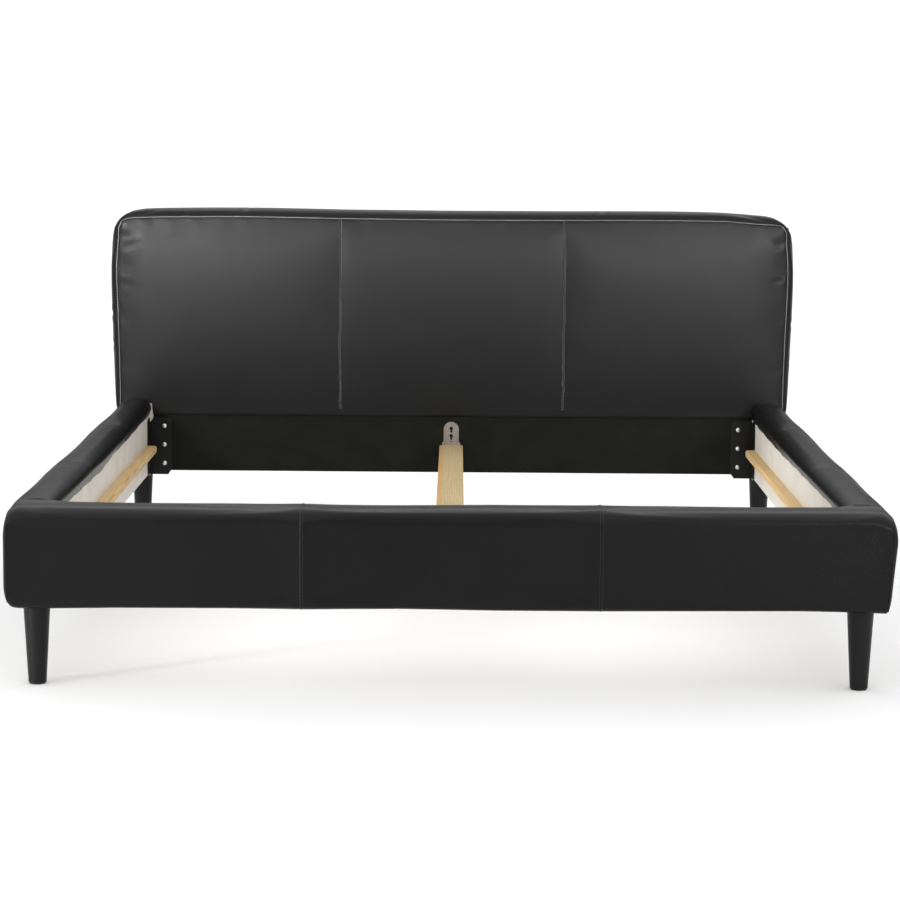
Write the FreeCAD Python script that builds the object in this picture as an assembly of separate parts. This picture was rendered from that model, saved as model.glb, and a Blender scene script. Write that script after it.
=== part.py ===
import FreeCAD, Part
import math
import os

from FreeCAD import Placement, Rotation, Vector

# An upholstered double bed frame for a 1800 x 2000 mm mattress, in millimetres.
# X runs across the bed, +Y points to the headboard and +Z is up.
# The origin is on the floor, under the middle of the bed's outline.

os.makedirs("parts", exist_ok=True)

SIDES = {"left": -1, "right": 1}
ALONG_Y = Vector(0, 1, 0)

# ---- overall sizes ----
OVERALL_LENGTH = 2235.0
INNER_LENGTH = 2010.0
INNER_WIDTH = 1805.0
PAD_THICKNESS = 110.0
HEADBOARD_WIDTH = 2036.0
HEADBOARD_TOP = 1000.0
FOOT_WIDTH = 2030.0

# ---- heights ----
SKIRT_BOTTOM = 187.5
BOARD_BOTTOM = 211.0
BOARD_TOP = 385.0
RAIL_TOP = 428.0
FOOT_TOP = 418.0
HEAD_BOTTOM = 219.0
CUSHION_BOTTOM = 388.0
FRAME_TOP = 955.0
LEDGER_TOP = 300.0
BEAM_TOP = 302.0
COVER_HEM = 380.0

# ---- sheet and board thicknesses ----
LEATHER = 2.5
FELT = 1.5
CLOTH = 2.0
INNER_BOARD = 25.0
OUTER_BOARD = 16.0
CAP_BOARD = 12.0
LOWER_BOARD = 22.0
FACE_PANEL = 4.0
STEEL = 3.0
GAP = 0.3
THREAD_GAP = 0.05

# ---- planes that follow ----
FOOT_FACE = -OVERALL_LENGTH / 2
HEAD_BACK = OVERALL_LENGTH / 2
FOOT_INNER = FOOT_FACE + PAD_THICKNESS
HEAD_FACE = FOOT_INNER + INNER_LENGTH
MIDDLE_Y = (FOOT_INNER + HEAD_FACE) / 2
RAIL_INNER = INNER_WIDTH / 2
RAIL_OUTER = RAIL_INNER + PAD_THICKNESS
CUSHION_FRONT = HEAD_FACE - 6.5
FRAME_BOTTOM = SKIRT_BOTTOM + LEATHER
CAP_TOP = BOARD_TOP + CAP_BOARD

# ---- headboard frame ----
POST_OUTER = 998.0
POST_WIDTH = 90.0
STOCK = 40.0
POST_FRONT = HEAD_FACE + FELT + LOWER_BOARD
LEATHER_BACK = HEAD_BACK - CLOTH
POST_BACK = LEATHER_BACK - LEATHER
POST_INNER = POST_OUTER - POST_WIDTH
LOWER_TOP = CUSHION_BOTTOM - GAP
MIDDLE_RAIL_BOTTOM = CUSHION_BOTTOM - 40.0
MIDDLE_RAIL_TOP = CUSHION_BOTTOM + 20.0
FACE_PANEL_BOTTOM = CUSHION_BOTTOM + 4.0
POST_WAY_TOP = CUSHION_BOTTOM + 30.0
BACK_WINDOW_X = 965.0
BACK_WINDOW_TOP = 950.0
BACK_CLOTH_X = 985.0
BACK_CLOTH_BOTTOM = HEAD_BOTTOM + 3.0
BACK_CLOTH_TOP = 975.0
BACK_CLOTH_CORNERS = (5.0, 5.0, 45.0, 45.0)

# ---- padded forms: top corner, bottom corner, front edge and back edge radii ----
HEADBOARD_RADII = (68.0, 24.0, 20.0, 14.0)
FOOT_RADII = (45.0, 20.0, 19.0, 12.0)
RAIL_UNDER_RADIUS = 22.0
RAIL_SHOULDER_RADIUS = 45.0
RAIL_INNER_RADIUS = 25.0

# ---- rail and foot frames ----
OUTER_BOARD_X = 972.0
RAIL_SPACERS = 4
SPACER_WIDTH = 80.0
RAIL_SPACER_END = 45.0
FOOT_SPACER_PLACES = (-450.0, 0.0, 450.0)
LEG_BLOCK_INWARD = 52.0
LEG_BLOCK_HEIGHT = 50.0
FOOT_FRAME_X = 990.0
FOOT_OUTER_Y = FOOT_FACE + 19.5
RAIL_START = FOOT_INNER + LEATHER + GAP
RAIL_BOARD_END = HEAD_FACE - GAP
RAIL_PAD_END = CUSHION_FRONT - 0.5

# ---- legs ----
LEG_TOP_RADIUS = 31.0
LEG_FOOT_RADIUS = 20.5
FRONT_LEG_X = 935.5
FRONT_LEG_Y = -1060.0
REAR_LEG_X = 929.0
REAR_LEG_Y = 1057.0
GLIDE_HEIGHT = 4.0
LEG_BOLT_RADIUS = 4.0
LEG_BOLT_IN_LEG = 30.0
LEG_NUT_LENGTH = 25.0
LEG_NUT_RADIUS = 6.5

# ---- corner brackets ----
BRACKET_BOTTOM = 207.0
BRACKET_TOP = 379.0
HEAD_FLANGE = 66.5
RAIL_FLANGE = 62.0
BOLT_HEIGHTS = (241.0, 297.0, 353.0)
BOLT_FROM_RAIL = 45.0
SPARE_HOLE_FROM_RAIL = 28.0
SPARE_HOLE_RADIUS = 2.5
RAIL_SCREW_FROM_HEAD = 40.0

# ---- ledgers ----
LEDGER_WIDTH = 28.0
LEDGER_HEIGHT = 22.0
LEDGER_SCREWS = 6

# ---- centre beam and its keyhole plates ----
BEAM_WIDTH = 70.0
BEAM_HEIGHT = 48.0
PANEL_STAND_OFF = 7.0
PLATE_SHEET = 2.0
PLATE_WIDTH = 45.0
PLATE_TOP = 371.0
PLATE_BOTTOM = 236.0
TAB_BOTTOM = 214.0
KEYHOLE_TOP = 351.8
KEYHOLE_PITCH = 21.9
KEYHOLE_COUNT = 4
KEYHOLE_RADIUS = 5.5
SLOT_RADIUS = 2.8
SLOT_DROP = 10.4
STUD_RADIUS = 2.5
STUD_HEAD_RADIUS = 4.8
STUD_HEAD = 2.5
END_PLATE_WIDTH = 54.0
END_PLATE_TOP = 311.5
END_PLATE = 2.5
END_FLANGE = 42.0

# ---- centre leg ----
CENTRE_LEG_RADIUS = 22.5
CENTRE_PAD_HEIGHT = 8.0
CENTRE_PAD_RADIUS = 20.0
GLIDE_STEM = 30.0

# ---- fasteners: head radius, head height, shank radius, length under the head ----
BRACKET_BOLT = (6.5, 4.0, 3.0, 25.5)
BOARD_SCREW = (5.0, 2.5, 2.5, 22.0)
LEDGER_SCREW = (4.0, 2.5, 2.0, 40.0)
SMALL_SCREW = (3.8, 2.2, 1.8, 16.0)
HEX_SOCKET = 2.4


def save(name, *solids):
    """Writes one node: a single solid, or a group of separate ones."""
    shape = solids[0] if len(solids) == 1 else Part.makeCompound(list(solids))
    if not shape.isValid():
        raise ValueError(name + " is not a valid shape")
    shape.exportStep("parts/" + name + ".step")


def block(x, y, z):
    """A box between two bounds along each axis."""
    size = (x[1] - x[0], y[1] - y[0], z[1] - z[0])
    return Part.makeBox(*size, Vector(x[0], y[0], z[0]))


def mirrored_x(shape):
    """The same piece on the other side of the bed."""
    return shape.mirror(Vector(0, 0, 0), Vector(1, 0, 0))


def mirrored_y(shape):
    """The same piece at the other end of the mattress space."""
    return shape.mirror(Vector(0, MIDDLE_Y, 0), ALONG_Y)


def on_side(shape, side):
    """A piece drawn on the right, placed on the named side."""
    return shape if side == "right" else mirrored_x(shape)


def four_corners(shape):
    """A piece drawn at the right of the head end, repeated at all four corners."""
    head_pair = [shape, mirrored_x(shape)]
    return head_pair + [mirrored_y(piece) for piece in head_pair]


def both_ends(shape):
    """A piece drawn at the head end, repeated at the foot end."""
    return [shape, mirrored_y(shape)]


def rounded_face(u, v, radii, place):
    """A rectangle with its own radius at each corner.

    The corners run low-low, high-low, high-high and low-high, and place turns (u, v) into a point.
    """
    corners = [(u[0], v[0], 1, 1), (u[1], v[0], -1, 1), (u[1], v[1], -1, -1), (u[0], v[1], 1, -1)]
    edges = []
    joints = []
    for index, (cu, cv, su, sv) in enumerate(corners):
        r = radii[index]
        along_u = (cu + su * r, cv)
        along_v = (cu, cv + sv * r)
        first, last = (along_v, along_u) if index % 2 == 0 else (along_u, along_v)
        joints.append((first, last))
        if r > 0:
            inset = r * (1 - math.sqrt(0.5))
            middle = (cu + su * inset, cv + sv * inset)
            edges.append(Part.Arc(place(*first), place(*middle), place(*last)).toShape())
        else:
            edges.append(None)
    outline = []
    for index, (first, last) in enumerate(joints):
        if edges[index] is not None:
            outline.append(edges[index])
        following = joints[(index + 1) % 4][0]
        outline.append(Part.LineSegment(place(*last), place(*following)).toShape())
    return Part.Face(Part.Wire(outline))


def edges_at_y(shape, y):
    """The edges that lie in one plane across the length of the bed."""
    flat = [e for e in shape.Edges if e.BoundBox.YMax - e.BoundBox.YMin < 1e-6]
    return [e for e in flat if abs(e.BoundBox.YMin - y) < 1e-6]


def cushion_form(x_half, y, z, top_corner, bottom_corner, front_edge, back_edge):
    """A padded slab: rounded corners seen from the front, and rounded front and back edges."""
    radii = (bottom_corner, bottom_corner, top_corner, top_corner)
    face = rounded_face((-x_half, x_half), z, radii, lambda u, v: Vector(u, y[0], v))
    form = face.extrude(Vector(0, y[1] - y[0], 0))
    form = form.makeFillet(front_edge, edges_at_y(form, y[0]))
    return form.makeFillet(back_edge, edges_at_y(form, y[1]))


def screw(point, direction, size):
    """A button-head screw with a hexagon socket, its head outside point and its shank along direction."""
    head_radius, head_height, shank_radius, length = size
    rim = head_height * 0.3
    shoulder = Vector(head_radius * 0.72, 0, -head_height * 0.78)
    crown = Part.Arc(Vector(head_radius, 0, -rim), shoulder, Vector(0, 0, -head_height))
    points = [
        Vector(0, 0, -head_height),
        Vector(0, 0, length),
        Vector(shank_radius, 0, length),
        Vector(shank_radius, 0, 0),
        Vector(head_radius, 0, 0),
        Vector(head_radius, 0, -rim),
    ]
    outline = [Part.LineSegment(a, b).toShape() for a, b in zip(points, points[1:])]
    outline.append(crown.toShape())
    solid = Part.Face(Part.Wire(outline)).revolve(Vector(0, 0, 0), Vector(0, 0, 1), 360)
    socket_radius = min(HEX_SOCKET, head_radius * 0.45)
    turns = [k * math.pi / 3 for k in range(7)]
    above = -head_height - 1
    hexagon = [Vector(socket_radius * math.cos(a), socket_radius * math.sin(a), above) for a in turns]
    socket = Part.Face(Part.makePolygon(hexagon)).extrude(Vector(0, 0, 1 + head_height * 0.6))
    solid = solid.cut(socket)
    solid.Placement = Placement(Vector(*point), Rotation(Vector(0, 0, 1), Vector(*direction)))
    return solid


def screw_hole(point, direction, size, head_room=0.0):
    """The clearance hole of a screw, with room for a sunk head when head_room is given."""
    axis = Vector(*direction)
    start = Vector(*point) - axis * 1.0
    hole = Part.makeCylinder(size[2] + THREAD_GAP, size[3] + 1.5, start, axis)
    if head_room:
        outside = Vector(*point) - axis * 5.0
        hole = hole.fuse(Part.makeCylinder(size[0] + 0.2, head_room + 5.0, outside, axis))
    return hole


# ---- positions of the fasteners, at the right of the head end ----
bracket_bolts = [(RAIL_INNER - BOLT_FROM_RAIL, HEAD_FACE - STEEL, z) for z in BOLT_HEIGHTS]
rail_screws = [(RAIL_INNER - STEEL, HEAD_FACE - RAIL_SCREW_FROM_HEAD, z) for z in BOLT_HEIGHTS]
bolt_tool = Part.makeCompound([screw_hole(p, (0, 1, 0), BRACKET_BOLT) for p in bracket_bolts])
rail_screw_tool = Part.makeCompound([screw_hole(p, (1, 0, 0), BOARD_SCREW) for p in rail_screws])

LEDGER_START = FOOT_INNER + RAIL_FLANGE + 2.5
LEDGER_END = HEAD_FACE - RAIL_FLANGE - 2.5
LEDGER_FACE = RAIL_INNER - LEDGER_WIDTH
ledger_pitch = (LEDGER_END - LEDGER_START) / LEDGER_SCREWS
SUNK_HEAD = 3.0
ledger_screw_x = LEDGER_FACE + SUNK_HEAD
ledger_screw_z = LEDGER_TOP - LEDGER_HEIGHT / 2
ledger_screws = [
    (ledger_screw_x, LEDGER_START + ledger_pitch * (k + 0.5), ledger_screw_z) for k in range(LEDGER_SCREWS)
]
ledger_screw_tool = Part.makeCompound(
    [screw_hole(p, (1, 0, 0), LEDGER_SCREW, SUNK_HEAD) for p in ledger_screws]
)


# ---- headboard ----
def nut_hole(x, y, z):
    """The blind hole for the sleeve nut of a leg, in the wood above it."""
    return Part.makeCylinder(LEG_NUT_RADIUS + THREAD_GAP, LEG_NUT_LENGTH + 0.5, Vector(x, y, z))


def headboard_frame():
    post = block((POST_INNER, POST_OUTER), (POST_FRONT, POST_BACK), (HEAD_BOTTOM, FRAME_TOP))
    post = post.cut(nut_hole(REAR_LEG_X, REAR_LEG_Y, HEAD_BOTTOM))
    for side in SIDES:
        save("headboard_post_" + side, on_side(post, side))
    across = (-POST_INNER, POST_INNER)
    depth = (POST_FRONT, POST_FRONT + STOCK)
    save("headboard_top_rail", block(across, depth, (FRAME_TOP - STOCK, FRAME_TOP)))
    save("headboard_middle_rail", block(across, depth, (MIDDLE_RAIL_BOTTOM, MIDDLE_RAIL_TOP)))
    save("headboard_bottom_rail", block(across, depth, (HEAD_BOTTOM, HEAD_BOTTOM + STOCK)))

    keyhole_screws = [screw_hole(p, (0, 1, 0), SMALL_SCREW) for p in tab_screws]
    tools = [bolt_tool, mirrored_x(bolt_tool)] + keyhole_screws
    full = (-POST_OUTER, POST_OUTER)
    lower = block(full, (HEAD_FACE + FELT, POST_FRONT), (HEAD_BOTTOM + FELT, LOWER_TOP))
    save("headboard_lower_board", lower.cut(tools))
    panel = block(full, (POST_FRONT - FACE_PANEL, POST_FRONT), (FACE_PANEL_BOTTOM, FRAME_TOP))
    save("headboard_face_panel", panel)

    skin = POST_OUTER + FELT
    outside = block((-skin, skin), (HEAD_FACE, POST_BACK), (HEAD_BOTTOM, LOWER_TOP))
    inside = block(full, (HEAD_FACE + FELT, POST_BACK), (HEAD_BOTTOM + FELT, LOWER_TOP))
    under = block(full, (POST_FRONT, POST_BACK), (HEAD_BOTTOM, HEAD_BOTTOM + FELT))
    save("headboard_lower_felt", outside.cut([inside, under] + tools))


def headboard_form(inset):
    """The headboard cushion's outer form, drawn in by inset."""
    return cushion_form(
        HEADBOARD_WIDTH / 2 - inset,
        (CUSHION_FRONT + inset, LEATHER_BACK - inset),
        (CUSHION_BOTTOM + inset, HEADBOARD_TOP - inset),
        *(radius - inset for radius in HEADBOARD_RADII),
    )


def headboard_padding():
    room = POST_OUTER + GAP
    panel_front = POST_FRONT - FACE_PANEL
    frame_room = block((-room, room), (panel_front - GAP, HEAD_BACK), (0, FRAME_TOP + GAP))
    save("headboard_foam", headboard_form(LEATHER + GAP).cut(frame_room))
    post_way = block((-POST_OUTER, POST_OUTER), (panel_front, POST_BACK), (0, POST_WAY_TOP))
    window_width = (-BACK_WINDOW_X, BACK_WINDOW_X)
    back_window = block(window_width, (POST_BACK - 1.0, HEAD_BACK), (0, BACK_WINDOW_TOP))
    shell = headboard_form(0).cut(headboard_form(LEATHER))
    save("headboard_cover", shell.cut([post_way, back_window]))
    face = rounded_face(
        (-BACK_CLOTH_X, BACK_CLOTH_X),
        (BACK_CLOTH_BOTTOM, BACK_CLOTH_TOP),
        BACK_CLOTH_CORNERS,
        lambda u, v: Vector(u, LEATHER_BACK, v),
    )
    save("headboard_back_cloth", face.extrude(Vector(0, CLOTH, 0)))


# ---- side rails ----
def rail_section(inset):
    """The padded rail's outline, drawn in by inset, from the foot end to the headboard cushion."""
    face = rounded_face(
        (RAIL_INNER - LEATHER + inset, RAIL_OUTER - inset),
        (SKIRT_BOTTOM + inset, RAIL_TOP - inset),
        (0, RAIL_UNDER_RADIUS - inset, RAIL_SHOULDER_RADIUS - inset, RAIL_INNER_RADIUS - inset),
        lambda u, v: Vector(u, RAIL_START, v),
    )
    return face.extrude(Vector(0, RAIL_PAD_END - RAIL_START, 0))


def rail_frame(side):
    length = (RAIL_START, RAIL_BOARD_END)
    inner = block((RAIL_INNER, RAIL_INNER + INNER_BOARD), length, (BOARD_BOTTOM, BOARD_TOP))
    inner = inner.cut([rail_screw_tool, mirrored_y(rail_screw_tool), ledger_screw_tool])
    save("rail_" + side + "_inner_board", on_side(inner, side))
    outer = block((OUTER_BOARD_X, OUTER_BOARD_X + OUTER_BOARD), length, (FRAME_BOTTOM, BOARD_TOP))
    save("rail_" + side + "_outer_board", on_side(outer, side))
    cap_width = (RAIL_INNER, OUTER_BOARD_X + OUTER_BOARD)
    cap = block(cap_width, (RAIL_START, RAIL_PAD_END - 2.0), (BOARD_TOP, CAP_TOP))
    save("rail_" + side + "_top_board", on_side(cap, side))
    spacers = []
    pitch = (RAIL_BOARD_END - RAIL_START - 2 * RAIL_SPACER_END) / (RAIL_SPACERS - 1)
    width = (RAIL_INNER + INNER_BOARD, OUTER_BOARD_X)
    for k in range(RAIL_SPACERS):
        centre = RAIL_START + RAIL_SPACER_END + k * pitch
        along = (centre - SPACER_WIDTH / 2, centre + SPACER_WIDTH / 2)
        spacer = block(width, along, (BOARD_BOTTOM, BOARD_TOP))
        spacers.append(on_side(spacer.cut(ledger_screw_tool), side))
    save("rail_" + side + "_spacers", *spacers)


def rail_padding(side):
    frame_room = block((0, OUTER_BOARD_X + OUTER_BOARD + GAP), (-2000, 2000), (0, CAP_TOP + GAP))
    save("rail_" + side + "_foam", on_side(rail_section(LEATHER + GAP).cut(frame_room), side))
    window = block((0, OUTER_BOARD_X), (-2000, 2000), (0, COVER_HEM))
    shell = rail_section(0).cut(rail_section(LEATHER))
    save("rail_" + side + "_cover", on_side(shell.cut(window), side))


def ledger(side):
    face = rounded_face(
        (LEDGER_FACE, RAIL_INNER),
        (LEDGER_TOP - LEDGER_HEIGHT, LEDGER_TOP),
        (6.0, 0, 0, 6.0),
        lambda u, v: Vector(u, LEDGER_START, v),
    )
    strip = face.extrude(Vector(0, LEDGER_END - LEDGER_START, 0)).cut(ledger_screw_tool)
    save("ledger_" + side, on_side(strip, side))
    screws = [screw(p, (1, 0, 0), LEDGER_SCREW) for p in ledger_screws]
    save("ledger_screws_" + side, *[on_side(piece, side) for piece in screws])


# ---- footboard ----
def foot_form(inset):
    """The footboard's outer form, drawn in by inset."""
    return cushion_form(
        FOOT_WIDTH / 2 - inset,
        (FOOT_FACE + inset, FOOT_INNER + LEATHER - inset),
        (SKIRT_BOTTOM + inset, FOOT_TOP - inset),
        *(radius - inset for radius in FOOT_RADII),
    )


def foot_frame():
    across = (-FOOT_FRAME_X, FOOT_FRAME_X)
    inner_y = (FOOT_INNER - INNER_BOARD, FOOT_INNER)
    outer_y = (FOOT_OUTER_Y, FOOT_OUTER_Y + OUTER_BOARD)
    foot_bolts = mirrored_y(bolt_tool)
    keyhole_screws = [mirrored_y(screw_hole(p, (0, 1, 0), SMALL_SCREW)) for p in tab_screws]
    tools = [foot_bolts, mirrored_x(foot_bolts)] + keyhole_screws
    save("foot_inner_board", block(across, inner_y, (BOARD_BOTTOM, BOARD_TOP)).cut(tools))
    save("foot_outer_board", block(across, outer_y, (FRAME_BOTTOM, BOARD_TOP)))
    save("foot_top_board", block(across, (outer_y[0], inner_y[1]), (BOARD_TOP, CAP_TOP)))
    depth = (outer_y[1], inner_y[0])
    block_width = (FRONT_LEG_X - LEG_BLOCK_INWARD, FOOT_FRAME_X)
    leg_block = block(block_width, depth, (FRAME_BOTTOM, FRAME_BOTTOM + LEG_BLOCK_HEIGHT))
    leg_block = leg_block.cut(nut_hole(FRONT_LEG_X, FRONT_LEG_Y, FRAME_BOTTOM))
    height = (BOARD_BOTTOM, BOARD_TOP)
    half = SPACER_WIDTH / 2
    spacers = [block((x - half, x + half), depth, height) for x in FOOT_SPACER_PLACES]
    save("foot_spacers", leg_block, mirrored_x(leg_block), *spacers)


def foot_padding():
    room = FOOT_FRAME_X + GAP
    beyond = FOOT_INNER + 50.0
    frame_room = block((-room, room), (FOOT_OUTER_Y - GAP, beyond), (0, CAP_TOP + GAP))
    save("foot_foam", foot_form(LEATHER + GAP).cut(frame_room))
    inside_end = FOOT_WIDTH / 2 - LEATHER
    window = block((-inside_end, inside_end), (FOOT_OUTER_Y + OUTER_BOARD, beyond), (0, COVER_HEM))
    leg_places = [Vector(s * FRONT_LEG_X, FRONT_LEG_Y, SKIRT_BOTTOM - 1.0) for s in SIDES.values()]
    leg_holes = [Part.makeCylinder(LEG_TOP_RADIUS + 0.5, LEATHER + 2.0, place) for place in leg_places]
    shell = foot_form(0).cut(foot_form(LEATHER))
    save("foot_cover", shell.cut([window] + leg_holes))


# ---- legs ----
def leg(x, y, top):
    """A round tapered leg with a bore for its bolt and a small hole for the glide's pin."""
    length = top - GLIDE_HEIGHT
    body = Part.makeCone(LEG_FOOT_RADIUS, LEG_TOP_RADIUS, length, Vector(x, y, GLIDE_HEIGHT))
    bolt_end = Vector(x, y, top - LEG_BOLT_IN_LEG - 0.5)
    bolt_hole = Part.makeCylinder(LEG_BOLT_RADIUS + THREAD_GAP, LEG_BOLT_IN_LEG + 1.0, bolt_end)
    pin_hole = Part.makeCylinder(1.5 + THREAD_GAP, 14.5, Vector(x, y, GLIDE_HEIGHT - 1.0))
    return body.cut([bolt_hole, pin_hole])


def legs():
    places = {
        "front": (FRONT_LEG_X, FRONT_LEG_Y, FRAME_BOTTOM),
        "rear": (REAR_LEG_X, REAR_LEG_Y, HEAD_BOTTOM),
    }
    bolts = []
    nuts = []
    glides = []
    for end, (x, y, top) in places.items():
        for side, sign in SIDES.items():
            save(end + "_leg_" + side, leg(sign * x, y, top))
            centre = Vector(sign * x, y, top)
            bolt_length = LEG_BOLT_IN_LEG + LEG_NUT_LENGTH - 1.0
            bolt_start = centre - Vector(0, 0, LEG_BOLT_IN_LEG)
            bolts.append(Part.makeCylinder(LEG_BOLT_RADIUS, bolt_length, bolt_start))
            sleeve = Part.makeCylinder(LEG_NUT_RADIUS, LEG_NUT_LENGTH, centre)
            nuts.append(sleeve.cut(Part.makeCylinder(LEG_BOLT_RADIUS + THREAD_GAP, LEG_NUT_LENGTH, centre)))
            foot = Vector(sign * x, y, 0)
            pad = Part.makeCylinder(LEG_FOOT_RADIUS - 2.0, GLIDE_HEIGHT, foot)
            pad = pad.makeFillet(1.2, [e for e in pad.Edges if e.BoundBox.ZMax < 0.01])
            glides.append(pad.fuse(Part.makeCylinder(1.5, 12.0 + GLIDE_HEIGHT, foot)))
    save("leg_bolts", *bolts)
    save("leg_nuts", *nuts)
    save("leg_glides", *glides)


# ---- corner brackets ----
def bracket():
    """A steel angle at the right of the head end, with chamfered outer corners."""
    chamfer = 11.0
    low, high = BRACKET_BOTTOM, BRACKET_TOP
    corner_x = RAIL_INNER
    head_points = [
        (corner_x, low),
        (corner_x, high),
        (corner_x - HEAD_FLANGE + chamfer, high),
        (corner_x - HEAD_FLANGE, high - chamfer),
        (corner_x - HEAD_FLANGE, low + chamfer * 1.4),
        (corner_x - HEAD_FLANGE + chamfer, low),
    ]
    wire = Part.makePolygon([Vector(x, HEAD_FACE - STEEL, z) for x, z in head_points + head_points[:1]])
    head_flange = Part.Face(wire).extrude(Vector(0, STEEL, 0))
    rail_points = [
        (HEAD_FACE, low),
        (HEAD_FACE, high),
        (HEAD_FACE - RAIL_FLANGE + chamfer, high),
        (HEAD_FACE - RAIL_FLANGE, high - chamfer),
        (HEAD_FACE - RAIL_FLANGE, low + chamfer),
        (HEAD_FACE - RAIL_FLANGE + chamfer, low),
    ]
    wire = Part.makePolygon([Vector(RAIL_INNER - STEEL, y, z) for y, z in rail_points + rail_points[:1]])
    rail_flange = Part.Face(wire).extrude(Vector(STEEL, 0, 0))
    angle = head_flange.fuse(rail_flange).removeSplitter()
    spare_x = RAIL_INNER - SPARE_HOLE_FROM_RAIL
    spare_places = [Vector(spare_x, HEAD_FACE - 2 * STEEL, z) for z in BOLT_HEIGHTS]
    spare = [Part.makeCylinder(SPARE_HOLE_RADIUS, 3 * STEEL, place, ALONG_Y) for place in spare_places]
    return angle.cut([bolt_tool, rail_screw_tool] + spare)


def brackets():
    angle = bracket()
    names = ["head_bracket_right", "head_bracket_left", "foot_bracket_right", "foot_bracket_left"]
    for name, shape in zip(names, four_corners(angle)):
        save(name, shape)
    bolts = [screw(p, (0, 1, 0), BRACKET_BOLT) for p in bracket_bolts]
    bolts += [mirrored_x(b) for b in bolts]
    save("head_bracket_bolts", *bolts)
    save("foot_bracket_bolts", *[mirrored_y(b) for b in bolts])
    into_rail = [screw(p, (1, 0, 0), BOARD_SCREW) for p in rail_screws]
    save("rail_bracket_screws", *[copy for piece in into_rail for copy in four_corners(piece)])


# ---- keyhole plates ----
tab_screws = [(x, HEAD_FACE - PLATE_SHEET, TAB_BOTTOM + 10.0) for x in (-13.0, 13.0)]


def plate_outline(inset, top, bottom):
    """A plate with a half-round top, drawn in by inset."""
    half = PLATE_WIDTH / 2 - inset
    return (-half, half), (bottom, top - inset), (3.0, 3.0, half - 0.01, half - 0.01)


def pressed_sheet(inset, y, bottom):
    u, v, radii = plate_outline(inset, PLATE_TOP, bottom)
    return rounded_face(u, v, radii, lambda a, b: Vector(a, y[0], b)).extrude(Vector(0, y[1] - y[0], 0))


def keyhole(z):
    """A round entry with a narrower slot below it."""
    start = HEAD_FACE - PANEL_STAND_OFF - 5.0
    depth = PLATE_SHEET + 8.0
    entry = Part.makeCylinder(KEYHOLE_RADIUS, depth, Vector(0, start, z), ALONG_Y)
    slot_end = Part.makeCylinder(SLOT_RADIUS, depth, Vector(0, start, z - SLOT_DROP), ALONG_Y)
    slot = block((-SLOT_RADIUS, SLOT_RADIUS), (start, start + depth), (z - SLOT_DROP, z))
    return entry.fuse([slot_end, slot])


def keyhole_plates():
    panel_front = HEAD_FACE - PANEL_STAND_OFF
    raised = pressed_sheet(5.0, (panel_front, HEAD_FACE), PLATE_BOTTOM)
    raised = raised.makeFillet(1.2, edges_at_y(raised, panel_front))
    rim = pressed_sheet(0.0, (HEAD_FACE - PLATE_SHEET, HEAD_FACE), TAB_BOTTOM)
    pocket = pressed_sheet(7.0, (panel_front + PLATE_SHEET, HEAD_FACE + 1.0), PLATE_BOTTOM + 2.0)
    keyholes = [keyhole(KEYHOLE_TOP - k * KEYHOLE_PITCH) for k in range(KEYHOLE_COUNT)]
    screw_tools = [screw_hole(p, (0, 1, 0), SMALL_SCREW) for p in tab_screws]
    plate = raised.fuse(rim).cut([pocket] + keyholes + screw_tools)
    head_plate, foot_plate = both_ends(plate)
    save("keyhole_plate_head", head_plate)
    save("keyhole_plate_foot", foot_plate)
    plate_screws = [screw(p, (0, 1, 0), SMALL_SCREW) for p in tab_screws]
    save("keyhole_plate_screws", *[copy for piece in plate_screws for copy in both_ends(piece)])


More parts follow.
